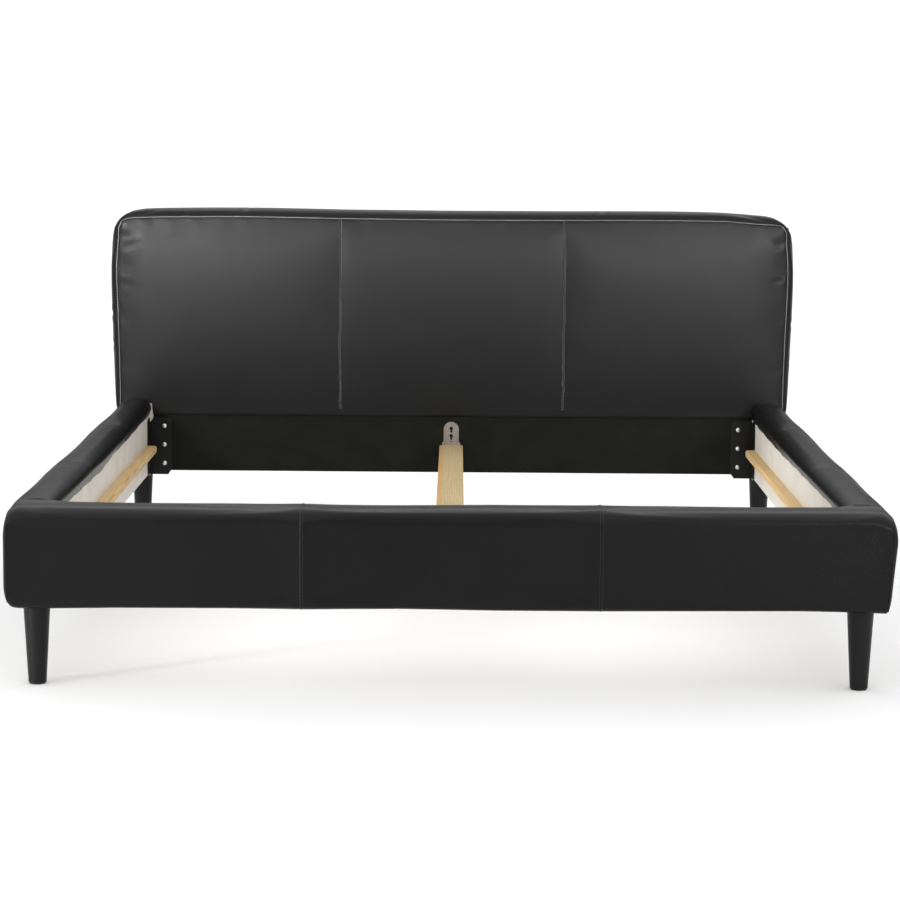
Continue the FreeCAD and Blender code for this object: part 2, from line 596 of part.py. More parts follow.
# ---- centre beam ----
def centre_beam():
    panel_front = HEAD_FACE - PANEL_STAND_OFF
    plate_face = panel_front - GAP
    beam_end = plate_face - END_PLATE
    beam_start = 2 * MIDDLE_Y - beam_end
    beam_bottom = BEAM_TOP - BEAM_HEIGHT
    flange_screws = [(x, beam_end - 22.0, beam_bottom - END_PLATE) for x in (-15.0, 15.0)]
    flange_tools = [t for p in flange_screws for t in both_ends(screw_hole(p, (0, 0, 1), SMALL_SCREW))]
    leg_screws = [(x, y, beam_bottom - STEEL) for x in (-25.0, 25.0) for y in (-31.0, 31.0)]
    leg_tools = [screw_hole(p, (0, 0, 1), SMALL_SCREW) for p in leg_screws]

    face = rounded_face(
        (-BEAM_WIDTH / 2, BEAM_WIDTH / 2),
        (beam_bottom, BEAM_TOP),
        (4.0, 4.0, 4.0, 4.0),
        lambda u, v: Vector(u, beam_start, v),
    )
    beam = face.extrude(Vector(0, beam_end - beam_start, 0))
    save("centre_beam", beam.cut(flange_tools + leg_tools))

    half = END_PLATE_WIDTH / 2
    stud_heights = [KEYHOLE_TOP - k * KEYHOLE_PITCH - SLOT_DROP for k in (2, 3)]
    flange_bottom = beam_bottom - END_PLATE
    upright = rounded_face(
        (-half, half),
        (flange_bottom, END_PLATE_TOP),
        (0, 0, 4.0, 4.0),
        lambda u, v: Vector(u, beam_end, v),
    ).extrude(Vector(0, END_PLATE, 0))
    flange = block((-half, half), (plate_face - END_FLANGE, plate_face), (flange_bottom, beam_bottom))
    through = (beam_end - 1, plate_face + 1)
    notches = [block((x - 1.5, x + 1.5), through, (BEAM_TOP + 3, BEAM_TOP + 20)) for x in (-18.5, 18.5)]
    rivets = [Vector(0, beam_end - 1, z) for z in stud_heights]
    rivet_radius = STUD_RADIUS + THREAD_GAP
    rivet_holes = [Part.makeCylinder(rivet_radius, END_PLATE + 2, place, ALONG_Y) for place in rivets]
    end_plate = upright.fuse(flange).removeSplitter().cut(notches + rivet_holes + flange_tools)
    head_plate, foot_plate = both_ends(end_plate)
    save("beam_end_plate_head", head_plate)
    save("beam_end_plate_foot", foot_plate)
    plate_screws = [screw(p, (0, 0, 1), SMALL_SCREW) for p in flange_screws]
    save("beam_end_screws", *[copy for piece in plate_screws for copy in both_ends(piece)])

    studs = []
    for z in stud_heights:
        head_start = panel_front + PLATE_SHEET + GAP
        shank = Part.makeCylinder(STUD_RADIUS, head_start - beam_end, Vector(0, beam_end, z), ALONG_Y)
        head = Part.makeCylinder(STUD_HEAD_RADIUS, STUD_HEAD, Vector(0, head_start, z), ALONG_Y)
        studs += both_ends(shank.fuse(head))
    save("beam_studs", *studs)
    centre_leg(beam_bottom, leg_screws, leg_tools)


def centre_leg(beam_bottom, leg_screws, leg_tools):
    plate_bottom = beam_bottom - STEEL
    plate = block((-33.0, 33.0), (-40.0, 40.0), (plate_bottom, beam_bottom))
    plate = plate.fuse(Part.makeCylinder(LEG_BOLT_RADIUS, 25.0, Vector(0, 0, plate_bottom - 25.0)))
    save("centre_leg_plate", plate.cut(leg_tools))
    save("centre_leg_screws", *[screw(p, (0, 0, 1), SMALL_SCREW) for p in leg_screws])

    leg_start = CENTRE_PAD_HEIGHT + 0.2
    body = Part.makeCylinder(CENTRE_LEG_RADIUS, plate_bottom - leg_start, Vector(0, 0, leg_start))
    top_bore = Part.makeCylinder(LEG_BOLT_RADIUS + THREAD_GAP, 30.0, Vector(0, 0, plate_bottom - 26.0))
    stem_start = Vector(0, 0, leg_start - 1.0)
    stem_bore = Part.makeCylinder(LEG_BOLT_RADIUS + THREAD_GAP, GLIDE_STEM + 8.0, stem_start)
    save("centre_leg", body.cut([top_bore, stem_bore]))

    pad = Part.makeCylinder(CENTRE_PAD_RADIUS, CENTRE_PAD_HEIGHT - 2.0)
    pad = pad.makeFillet(1.5, pad.Edges[:1] + pad.Edges[2:])
    collar = Part.makeCylinder(9.0, CENTRE_PAD_HEIGHT - 1.0, Vector(0, 0, 1.0))
    stem = Part.makeCylinder(LEG_BOLT_RADIUS, CENTRE_PAD_HEIGHT + GLIDE_STEM - 1.0, Vector(0, 0, 1.0))
    save("centre_leg_glide", pad.fuse([collar, stem]))


headboard_frame()
headboard_padding()
for side_name in SIDES:
    rail_frame(side_name)
    rail_padding(side_name)
    ledger(side_name)
foot_frame()
foot_padding()
legs()
brackets()
keyhole_plates()
centre_beam()
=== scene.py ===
"""Upholstered bed frame: the leather, stitching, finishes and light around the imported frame."""

import math
import random

import bpy
import numpy as np
from mathutils import Matrix, Vector
from mathutils.bvhtree import BVHTree


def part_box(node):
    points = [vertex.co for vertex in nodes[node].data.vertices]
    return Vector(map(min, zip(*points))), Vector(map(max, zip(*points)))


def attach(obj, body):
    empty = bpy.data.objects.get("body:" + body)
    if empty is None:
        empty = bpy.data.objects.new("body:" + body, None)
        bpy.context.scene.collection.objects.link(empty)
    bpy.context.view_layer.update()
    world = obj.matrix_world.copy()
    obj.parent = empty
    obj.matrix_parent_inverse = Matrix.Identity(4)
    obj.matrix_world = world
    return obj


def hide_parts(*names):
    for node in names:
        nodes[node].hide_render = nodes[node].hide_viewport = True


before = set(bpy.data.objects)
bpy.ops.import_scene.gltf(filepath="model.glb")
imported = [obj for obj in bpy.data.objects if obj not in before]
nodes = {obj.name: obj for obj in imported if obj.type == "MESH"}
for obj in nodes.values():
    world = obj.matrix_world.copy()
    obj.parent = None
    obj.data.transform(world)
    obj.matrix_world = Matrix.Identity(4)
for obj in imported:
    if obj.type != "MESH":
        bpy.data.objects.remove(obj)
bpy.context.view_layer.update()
scene = bpy.context.scene
MM = 0.001

# ---- the camera ----
CAMERA_AT = (0.0124, -7.3652, 1.3247)
CAMERA_LENS = 112.68
CAMERA_DOWN = 7.075
CAMERA_TURN = -0.107
CAMERA_ROLL = 0.4235


def add_camera():
    """The camera stands in front of the foot end at standing height, looking slightly down."""
    down = math.radians(CAMERA_DOWN)
    turn = math.radians(CAMERA_TURN)
    roll = math.radians(CAMERA_ROLL)
    ahead = Vector((math.sin(turn) * math.cos(down), math.cos(turn) * math.cos(down), -math.sin(down)))
    level = Vector((math.cos(turn), -math.sin(turn), 0))
    upright = level.cross(ahead)
    across = level * math.cos(roll) + upright * math.sin(roll)
    up = upright * math.cos(roll) - level * math.sin(roll)
    data = bpy.data.cameras.new("camera")
    data.lens = CAMERA_LENS
    data.sensor_width = 36.0
    data.clip_end = 200.0
    camera = bpy.data.objects.new("camera", data)
    scene.collection.objects.link(camera)
    turned = Matrix((across, up, -ahead)).transposed().to_4x4()
    camera.matrix_world = Matrix.Translation(CAMERA_AT) @ turned
    scene.camera = camera


# ---- node helpers for materials ----
class Recipe:
    """Builds one material's nodes. Patterns are laid in metres of the row frame."""

    def __init__(self, name):
        self.material = bpy.data.materials.new(name)
        self.material.use_nodes = True
        self.tree = self.material.node_tree
        self.shader = self.tree.nodes["Principled BSDF"]
        self.place = self.tree.nodes.new("ShaderNodeTexCoord").outputs["Object"]

    def join(self, value, socket):
        if isinstance(value, bpy.types.NodeSocket):
            self.tree.links.new(value, socket)
        else:
            socket.default_value = value

    def add(self, kind, output, inputs, **settings):
        """A new node's output, after its settings and its inputs (values or sockets) are in place."""
        node = self.tree.nodes.new("ShaderNode" + kind)
        for name, value in settings.items():
            setattr(node, name, value)
        for name, value in inputs.items():
            self.join(value, node.inputs[name])
        return node.outputs[output]

    def stretch(self, scale, turn=(0, 0, 0)):
        return self.add("Mapping", "Vector", {"Vector": self.place, "Scale": scale, "Rotation": turn})

    def noise(self, scale, detail=2.0, rough=0.5, place=None):
        inputs = {"Vector": place or self.place, "Scale": scale, "Detail": detail, "Roughness": rough}
        return self.add("TexNoise", "Fac", inputs)

    def cells(self, scale, feature="F1", place=None):
        inputs = {"Vector": place or self.place, "Scale": scale}
        return self.add("TexVoronoi", "Distance", inputs, feature=feature)

    def bands(self, scale, bend, detail, axis, place=None):
        inputs = {"Vector": place or self.place, "Scale": scale, "Distortion": bend, "Detail": detail}
        inputs["Detail Scale"] = 1.2
        return self.add("TexWave", "Fac", inputs, bands_direction=axis)

    def ramp(self, value, *stops):
        """Turns a value into a colour or a number, from (position, colour or number) stops."""
        node = self.tree.nodes.new("ShaderNodeValToRGB")
        self.join(value, node.inputs["Fac"])
        while len(node.color_ramp.elements) < len(stops):
            node.color_ramp.elements.new(0.5)
        for element, (position, colour) in zip(node.color_ramp.elements, stops):
            element.position = position
            flat = (colour, colour, colour) if isinstance(colour, (int, float)) else colour
            element.color = (*flat, 1.0)
        return node.outputs["Color"]

    def span(self, value, low, high):
        """Turns a noise-like value into anything between two colours or numbers."""
        return self.ramp(value, (0.3, low), (0.7, high))

    def math(self, operation, a, b):
        return self.add("Math", "Value", {0: a, 1: b}, operation=operation)

    def mix(self, factor, a, b, blend="MIX"):
        a, b = ((*value, 1.0) if isinstance(value, tuple) else value for value in (a, b))
        return self.add("Mix", 2, {0: factor, 6: a, 7: b}, data_type="RGBA", blend_type=blend)

    def times(self, a, b):
        return self.mix(1.0, a, b, "MULTIPLY")

    def axis(self, name):
        return self.add("SeparateXYZ", name, {"Vector": self.place})

    def distance(self, point, scale):
        """Distance from a point, measured in a space stretched by scale."""
        inputs = {0: self.stretch(scale), 1: [p * s for p, s in zip(point, scale)]}
        return self.add("VectorMath", "Value", inputs, operation="DISTANCE")

    def done(self, colour, roughness, *relief, **shader):
        """The material, with its colour, its relief of (height, depth in metres) layers and its gloss."""
        self.join(colour, self.shader.inputs["Base Color"])
        self.join(roughness, self.shader.inputs["Roughness"])
        for name, value in shader.items():
            self.shader.inputs[name.replace("_", " ")].default_value = value
        last = {}
        for height, depth in relief:
            last = {"Normal": self.add("Bump", "Normal", {"Distance": depth, "Height": height, **last})}
        self.join(last["Normal"], self.shader.inputs["Normal"])
        return self.material


# ---- the finishes ----
def leather():
    """Charcoal-black leather: small pebbles, stretch marks and patches with a little more sheen."""
    r = Recipe("leather")
    pebbles = r.cells(520, "SMOOTH_F1")
    creases = r.cells(240, "DISTANCE_TO_EDGE", r.stretch((1.0, 1.0, 1.25)))
    tone = r.span(r.noise(7.0, 3.0, 0.55), (0.0035, 0.0035, 0.0036), (0.0046, 0.0045, 0.0046))
    pores = r.noise(900, 2.0)
    colour = r.times(tone, r.ramp(r.noise(3.0, 2.0), (0.45, 1.0), (0.7, 1.18)))
    rough = r.span(r.noise(28.0, 4.0, 0.6), 0.29, 0.35)
    relief = ((r.ramp(creases, (0.0, 0.0), (0.10, 1.0)), 0.00012), (pebbles, 0.00016), (pores, 0.00005))
    return r.done(colour, rough, *relief, Specular_IOR_Level=0.19)


def felt():
    """Dark felt: matted fibres in soft clouds."""
    r = Recipe("felt")
    fibres = r.noise(700, 5.0, 0.75, r.stretch((1.0, 1.0, 0.45)))
    clouds = r.noise(16, 3.0)
    fleck = r.ramp(fibres, (0.35, (0.0058, 0.0060, 0.0048)), (0.75, (0.0150, 0.0154, 0.0128)))
    colour = r.times(fleck, r.span(clouds, 0.85, 1.15))
    rough = r.span(fibres, 0.86, 1.0)
    relief = ((fibres, 0.0007), (clouds, 0.0015))
    return r.done(colour, rough, *relief, Specular_IOR_Level=0.1, Sheen_Weight=0.02)


def woven(name, dark, light, pitch):
    """A plain weave or bonded cloth: two crossing sets of threads with slubs."""
    r = Recipe(name)
    warp = r.bands(pitch, 0.6, 1.0, "X")
    weft = r.bands(pitch, 0.6, 1.0, "Z")
    weave = r.math("MAXIMUM", warp, weft)
    slubs = r.noise(90, 4.0, 0.6)
    colour = r.mix(r.math("MULTIPLY", weave, slubs), dark, light)
    rough = r.span(slubs, 0.8, 0.95)
    return r.done(colour, rough, (weave, 0.0003), (slubs, 0.0004), Specular_IOR_Level=0.2)


def foam():
    """Cream foam with open pores."""
    r = Recipe("foam")
    pores = r.cells(420, "F1")
    colour = r.ramp(pores, (0.1, (0.42, 0.40, 0.33)), (0.6, (0.72, 0.70, 0.62)))
    return r.done(colour, r.span(r.noise(40), 0.85, 0.98), (pores, 0.0008))


KNOT_HALO = (0.34, 0.155, 0.05)
KNOT_CORE = (0.10, 0.045, 0.018)
HEARTWOOD = (0.58, 0.33, 0.135)


def pine(name, early, late, knots=(), heart=None):
    """Planed pine with its grain along Y; knots are (point, radius), heart a darker strip below an X."""
    r = Recipe(name)
    long_grain = r.stretch((1.0, 0.035, 1.0))
    rings = r.bands(58, 9.0, 3.0, "X", r.stretch((1.0, 0.05, 1.0), (0, 0.5, 0.02)))
    fibre = r.noise(420, 4.0, 0.7, long_grain)
    patches = r.noise(9.0, 2.0, 0.5, r.stretch((1.0, 0.3, 1.0)))
    colour = r.mix(r.ramp(rings, (0.35, 0.0), (0.95, 1.0)), early, late)
    colour = r.times(colour, r.span(fibre, 0.88, 1.06))
    colour = r.times(colour, r.span(patches, (0.93, 0.91, 0.86), 1.05))
    if heart is not None:
        edge = r.math("ADD", r.axis("X"), r.math("MULTIPLY", r.noise(6.0, 2.0, 0.5, long_grain), 0.012))
        inside = r.ramp(r.math("MULTIPLY", r.math("SUBTRACT", edge, heart), 120.0), (0.2, 1.0), (0.8, 0.0))
        colour = r.mix(r.math("MULTIPLY", inside, 0.75), colour, HEARTWOOD)
    for point, radius in knots:
        far = r.math("DIVIDE", r.distance(point, (1.0, 0.42, 1.0)), radius)
        far = r.math("ADD", far, r.math("MULTIPLY", r.noise(160, 3.0), 0.5))
        colour = r.mix(r.ramp(far, (0.55, 0.9), (1.0, 0.0)), colour, KNOT_HALO)
        colour = r.mix(r.ramp(far, (0.25, 0.9), (0.62, 0.0)), colour, KNOT_CORE)
    rough = r.ramp(rings, (0.2, 0.62), (0.9, 0.5))
    return r.done(colour, rough, (rings, 0.0002), (fibre, 0.0003), Specular_IOR_Level=0.3)


def faced_board():
    """Off-white faced board: faint mottling, hairline scuffs and a soft print of the chips beneath."""
    r = Recipe("white_board")
    scuffs = r.noise(300, 3.0, 0.6, r.stretch((1.0, 0.06, 1.0)))
    tone = r.span(r.noise(14, 4.0, 0.6), (0.66, 0.61, 0.54), (0.74, 0.70, 0.63))
    colour = r.times(tone, r.ramp(scuffs, (0.25, 0.97), (0.6, 1.01)))
    return r.done(colour, r.span(scuffs, 0.62, 0.48), (scuffs, 0.0002), (r.cells(180), 0.0001))


def chipboard():
    """Raw chipboard: pressed chips under fine dust."""
    r = Recipe("chipboard")
    chips = r.cells(230, "F1", r.stretch((1.0, 0.6, 1.0)))
    dust = r.noise(600, 3.0)
    tone = r.ramp(chips, (0.1, (0.52, 0.37, 0.2)), (0.5, (0.38, 0.25, 0.125)), (0.9, (0.24, 0.15, 0.075)))
    colour = r.times(tone, r.span(dust, 0.85, 1.1))
    return r.done(colour, r.span(dust, 0.75, 0.9), (chips, 0.0006), (dust, 0.0003))


def lacquered_wood():
    """Black lacquer over turned wood: faint upright grain under a satin skin."""
    r = Recipe("black_lacquered_wood")
    grain = r.noise(260, 3.0, 0.6, r.stretch((1.0, 1.0, 0.06)))
    haze = r.noise(22, 3.0)
    colour = r.ramp(grain, (0.3, (0.0060, 0.0059, 0.0059)), (0.75, (0.0105, 0.0102, 0.0102)))
    rough = r.span(haze, 0.38, 0.5)
    relief = ((grain, 0.00018), (haze, 0.0003))
    return r.done(colour, rough, *relief, Specular_IOR_Level=0.2, Coat_Weight=0.03, Coat_Roughness=0.3)


def coated_steel(name, tone, rough):
    """Powder coat or black plating: orange peel over metal."""
    r = Recipe(name)
    peel = r.noise(520, 2.0, 0.5)
    rubbed = r.noise(60, 3.0)
    colour = r.ramp(rubbed, (0.35, tuple(0.75 * c for c in tone)), (0.75, tone))
    rough = r.span(peel, rough - 0.06, rough + 0.08)
    return r.done(colour, rough, (peel, 0.00022), (rubbed, 0.0002), Specular_IOR_Level=0.25)


def zinc(name, tone, spangle, rough):
    """Bare zinc: spangled crystals on sheet, or a finer frost on plated screws."""
    r = Recipe(name)
    crystals = r.cells(spangle, "F1")
    frost = r.noise(900, 3.0)
    colour = r.ramp(crystals, (0.1, tone), (0.8, tuple(0.78 * c for c in tone)))
    rough = r.ramp(crystals, (0.1, rough), (0.8, rough + 0.16))
    return r.done(colour, rough, (frost, 0.00005), Metallic=0.9)


def moulded_plastic():
    """Black plastic with a fine moulded spark texture."""
    r = Recipe("black_plastic")
    spark = r.noise(800, 2.0)
    return r.done(r.span(r.noise(30), 0.010, 0.016), r.span(spark, 0.45, 0.6), (spark, 0.0001))


def sewing_thread(name, dark, light):
    """Thread with the fine slant of its ply."""
    r = Recipe(name)
    ply = r.bands(900, 1.0, 1.0, "DIAGONAL")
    colour = r.mix(ply, dark, light)
    return r.done(colour, r.ramp(ply, (0.2, 0.75), (0.8, 0.6)), (ply, 0.0002), Specular_IOR_Level=0.3)


def raw_edge():
    """The pale back of the leather, with a loose nap."""
    r = Recipe("leather_back")
    nap = r.noise(520, 4.0, 0.7)
    colour = r.span(nap, (0.55, 0.52, 0.46), (0.76, 0.73, 0.67))
    return r.done(colour, r.span(nap, 0.85, 0.97), (nap, 0.0004))


LEDGER_KNOTS = (
    ((-0.8745, 0.840, 0.296), 0.0055),
    ((-0.8745, 0.400, 0.283), 0.0075),
    ((-0.8745, 0.330, 0.281), 0.0050),
    ((-0.8745, 0.070, 0.281), 0.0085),
    ((0.8745, 0.560, 0.286), 0.0050),
    ((0.8745, -0.420, 0.289), 0.0060),
)
PINE_EARLY = (0.72, 0.525, 0.275)
PINE_LATE = (0.56, 0.36, 0.15)


def finishes():
    """Every finish: by the record's slot name, then those of single nodes and of the new pieces."""
    made = [
        leather(),
        foam(),
        felt(),
        woven("lining_cloth", (0.012, 0.012, 0.012), (0.045, 0.045, 0.046), 210),
        zinc("zinc_fasteners", (0.86, 0.87, 0.88), 900, 0.24),
        coated_steel("black_fasteners", (0.022, 0.022, 0.022), 0.38),
        coated_steel("black_steel", (0.0030, 0.0030, 0.0030), 0.42),
        zinc("galvanised_steel", (0.29, 0.255, 0.225), 260, 0.34),
        pine("pine", PINE_EARLY, PINE_LATE, LEDGER_KNOTS),
        lacquered_wood(),
        moulded_plastic(),
        faced_board(),
        chipboard(),
        pine("frame_timber", (0.56, 0.41, 0.23), (0.42, 0.27, 0.13)),
        # black finish for hidden timber: painted shade, so the gaps between the covers and the frame read
        # dark
        pine("painted_shade_timber", (0.0085, 0.0080, 0.0075), (0.0060, 0.0056, 0.0052)),
        pine("beam_pine", (0.57, 0.455, 0.265), (0.48, 0.35, 0.175), (), -0.021),
        sewing_thread("pale_thread", (0.48, 0.47, 0.45), (0.72, 0.71, 0.68)),
        sewing_thread("grey_thread", (0.36, 0.355, 0.35), (0.54, 0.53, 0.52)),
        sewing_thread("dark_thread", (0.035, 0.035, 0.036), (0.075, 0.075, 0.077)),
        raw_edge(),
    ]
    return {m.name.split(".")[0]: m for m in made}


# timber at the covers' edges gets the black finish as painted shade in the gaps between the covers and the
# frame
HEADBOARD_SHADE_TIMBER = ("post_left", "post_right", "top_rail", "face_panel", "lower_board")
SHADE_TIMBER = [f"headboard_{part}" for part in HEADBOARD_SHADE_TIMBER]
SHADE_TIMBER += [f"rail_{side}_{part}_board" for side in ("left", "right") for part in ("outer", "top")]
OWN_FINISH = {"centre_beam": "beam_pine", **dict.fromkeys(SHADE_TIMBER, "painted_shade_timber")}


def finish_frame(made):
    """Gives every node its slot's finish; the beam has its own, and timber at the covers' edges is painted
    black as shade in the gaps there.
    """
    for name, node in nodes.items():
        slot = node.data.materials[0].name.split(".")[0]
        node.data.materials.clear()
        node.data.materials.append(made[OWN_FINISH.get(name, slot)])


# ---- meshes of the leather pieces ----
SEAM_STEPS = (-0.012, -0.006, -0.0032, -0.0015, 0.0, 0.0015, 0.0032, 0.006, 0.012)
SEAM_HELD = 0.0075
CELL = 0.012
VALLEY_DEPTH, VALLEY_WIDTH = 0.0024, 0.0014
RIDGE_HEIGHT, RIDGE_WIDTH, RIDGE_ASIDE = 0.0007, 0.0028, 0.005


def clamp(t):
    return min(1.0, max(0.0, t))


def line_at(line, place):
    """A given line's offset in metres: it's given as (place, millimetres) pairs."""
    knots = np.array(line, float)
    return float(np.interp(place, knots[:, 0], knots[:, 1])) * MM


def nearest(places, wanted):
    return int(np.argmin(np.abs(np.array(places) - wanted)))


def stations(low, high, seams=(), marks=()):
    """Positions from low to high a cell apart, closer together beside the seams."""
    fixed = sorted({low, high, *marks, *(s + d for s in seams for d in SEAM_STEPS)})
    places = []
    for a, b in zip(fixed, fixed[1:]):
        count = max(1, round((b - a) / CELL))
        places += [a + (b - a) * k / count for k in range(count)]
    return np.array(places + [fixed[-1]])


def groove(d):
    """A seam's relief at a distance from its line: a narrow valley between two soft ridges."""
    d = np.abs(d)
    valley = VALLEY_DEPTH * np.exp(-((d / VALLEY_WIDTH) ** 2))
    return RIDGE_HEIGHT * np.exp(-(((d - RIDGE_ASIDE) / RIDGE_WIDTH) ** 2)) - valley


def grooves(places, seams):
    return sum((groove(np.asarray(places) - s) for s in seams), np.zeros(len(places)))


def puff(count, height):
    """The fullness of a pad round its skin: none at the two edges, most half-way."""
    return height * np.sin(np.linspace(0, math.pi, count)) ** 0.6


def stapled(count, skirt):
    """Weights round a skin that is stapled down at the flap inside and over the skirt below."""
    firm = np.zeros(count)
    firm[:4] = 1.0
    firm[4] = 0.6
    firm[-skirt:] = 1.0
    return firm


def waist(near, depth, reach):
    """The share of the fullness that is left at a distance from a seam."""
    return 1.0 - depth * math.exp(-((near / reach) ** 2))


def path(*legs):
    """Points along straight legs and quarter arcs: (points wanted, end) or (points, end, centre)."""
    made = [np.array(legs[0], float)]
    for count, end, *centre in legs[1:]:
        start = made[-1]
        end = np.array(end, float)
        for k in range(1, count + 1):
            t = k / count
            if centre:
                middle = np.array(centre[0], float)
                swing = t * math.pi / 2
                made.append(middle + (start - middle) * math.cos(swing) + (end - middle) * math.sin(swing))
            else:
                made.append(start + (end - start) * t)
    return np.array(made)


def outward(points):
    """The unit normals of an open path, on its left side as it is walked."""
    along = np.gradient(points, axis=0)
    along /= np.linalg.norm(along, axis=1)[:, None]
    return np.stack([-along[:, 1], along[:, 0]], axis=1)


def new_object(name, verts, faces, material):
    mesh = bpy.data.meshes.new(name)
    mesh.from_pydata([tuple(v) for v in verts], [], faces)
    mesh.update()
    mesh.polygons.foreach_set("use_smooth", [True] * len(mesh.polygons))
    mesh.materials.append(material)
    piece = bpy.data.objects.new(name, mesh)
    scene.collection.objects.link(piece)
    return piece


def tube_faces(count, size):
    """Quads between rings of the same size, each ring closed on itself."""
    faces = []
    for k in range(count - 1):
        for i in range(size):
            j = (i + 1) % size
            faces.append((k * size + i, k * size + j, (k + 1) * size + j, (k + 1) * size + i))
    return faces


def coordinates(mesh, kind="co"):
    flat = np.zeros(len(mesh.vertices) * 3)
    mesh.vertices.foreach_get(kind, flat)
    return flat.reshape(-1, 3)


def set_coordinates(mesh, points):
    mesh.vertices.foreach_set("co", points.ravel())
    mesh.update()


class Padding:
    """A leather-covered pad: its mesh, the weights that hold it, and the most that it swells.

    Its seams and its edge (a rim or a hem) are lists of vertex numbers.
    """

    def __init__(self, name, verts, faces, held, material, cap):
        self.piece = new_object(name, verts, faces, material)
        self.held = np.asarray(held, float)
        self.cap = cap
        self.seams = []
        self.edge = []

    def points(self):
        return coordinates(self.piece.data)


def weight_group(piece, name, weights):
    group = piece.vertex_groups.new(name=name)
    for level in np.unique(np.round(weights, 2)):
        if level > 0:
            chosen = np.nonzero(np.round(weights, 2) == level)[0]
            group.add([int(i) for i in chosen], float(level), "REPLACE")
    return group.name


CLOTH = {
    "quality": 6,
    "mass": 0.25,
    "tension_stiffness": 22,
    "compression_stiffness": 22,
    "shear_stiffness": 10,
    "bending_stiffness": 1.2,
    "air_damping": 2.0,
    "use_pressure": True,
    "uniform_pressure_force": 2.6,
}
LAST_FRAME = 20


def simulate(pads):
    """Fills every pad at once: the leather swells between the lines that hold it down."""
    for pad in pads:
        pad.start = pad.points()
        cloth = pad.piece.modifiers.new("cloth", "CLOTH")
        for setting, value in CLOTH.items():
            setattr(cloth.settings, setting, value)
        cloth.settings.vertex_group_mass = weight_group(pad.piece, "held", pad.held)
        cloth.settings.effector_weights.gravity = 0.0
        cloth.collision_settings.use_collision = False
        cloth.point_cache.frame_start = 1
        cloth.point_cache.frame_end = LAST_FRAME
    for number in range(1, LAST_FRAME + 1):
        scene.frame_set(number)
    seen = bpy.context.evaluated_depsgraph_get()
    for pad in pads:
        pad.end = coordinates(pad.piece.evaluated_get(seen).data)
    for pad in pads:
        pad.piece.modifiers.clear()
        pad.piece.vertex_groups.clear()
        moved = pad.end - pad.start
        length = np.linalg.norm(moved, axis=1)
        kept = pad.cap * np.tanh(length / pad.cap) / np.maximum(length, 1e-9)
        set_coordinates(pad.piece.data, pad.start + moved * kept[:, None])
    scene.frame_set(1)


def refine(piece):
    """One subdivision, applied."""
    piece.modifiers.new("finer", "SUBSURF").levels = 1
    seen = bpy.context.evaluated_depsgraph_get()
    fine = bpy.data.meshes.new_from_object(piece.evaluated_get(seen))
    piece.modifiers.clear()
    old = piece.data
    piece.data = fine
    fine.name = piece.name
    bpy.data.meshes.remove(old)
    fine.polygons.foreach_set("use_smooth", [True] * len(fine.polygons))


FOLD_FADE = 0.7
FOLD_RIDGE = 0.45
FOLD_RIDGE_ASIDE = 1.9


def press_folds(piece, folds):
    """Presses folds in a mesh: each starts sharp, and fades along its line, with a low ridge each side."""
    mesh = piece.data
    points, normals = coordinates(mesh), coordinates(mesh, "normal")
    moved = np.zeros(len(points))
    for start, end, width, depth in folds:
        run = np.array(end) - np.array(start)
        t = np.clip((points - start) @ run / (run @ run), 0.0, 1.0)
        gap = np.linalg.norm(points - (np.array(start) + t[:, None] * run), axis=1) / width
        relief = FOLD_RIDGE * np.exp(-((gap - FOLD_RIDGE_ASIDE) ** 2)) - np.exp(-(gap**2))
        moved += depth * (1 - t) ** FOLD_FADE * relief
    set_coordinates(mesh, points + normals * moved[:, None])


# ---- thread and staples ----
STITCH_SIDES = 6
STITCH_PITCH = 0.0075
RIM_THREAD, SEAM_THREAD = 0.0023, 0.0008
RIM_GAP, SEAM_GAP = 0.0006, 0.001
RIM_ASIDE, ROW_ASIDE = 0.0036, 0.0040
# along the stitch, its thickness there, and its height over the leather in half-thicknesses
STITCH_RINGS = (
    (0.0, 0.25, -0.9),
    (0.14, 0.85, -0.1),
    (0.5, 1.0, 0.35),
    (0.86, 0.85, -0.1),
    (1.0, 0.25, -0.9),
)


def surface(piece):
    mesh = piece.data
    return BVHTree.FromPolygons([v.co for v in mesh.vertices], [tuple(p.vertices) for p in mesh.polygons])


def evenly(points, pitch):
    """Points along a polyline, a pitch apart."""
    points = np.asarray(points, float)
    steps = np.linalg.norm(np.diff(points, axis=0), axis=1)
    at = np.concatenate([[0], np.cumsum(steps)])
    wanted = np.linspace(0, at[-1], max(2, round(at[-1] / pitch) + 1))
    return np.stack([np.interp(wanted, at, points[:, k]) for k in range(3)], axis=1)


def on_surface(tree, points, aside=0.0):
    """Drops a polyline on a surface, moved sideways along it; gives the places and the normals."""
    points = np.asarray(points, float)
    along = np.gradient(points, axis=0)
    places, normals = [], []
    for p, a in zip(points, along):
        _, normal, _, _ = tree.find_nearest(Vector(p))
        side = Vector(a).cross(normal).normalized()
        place, normal, _, _ = tree.find_nearest(Vector(p) + side * aside)
        places.append(np.array(place))
        normals.append(np.array(normal))
    return np.array(places), np.array(normals)


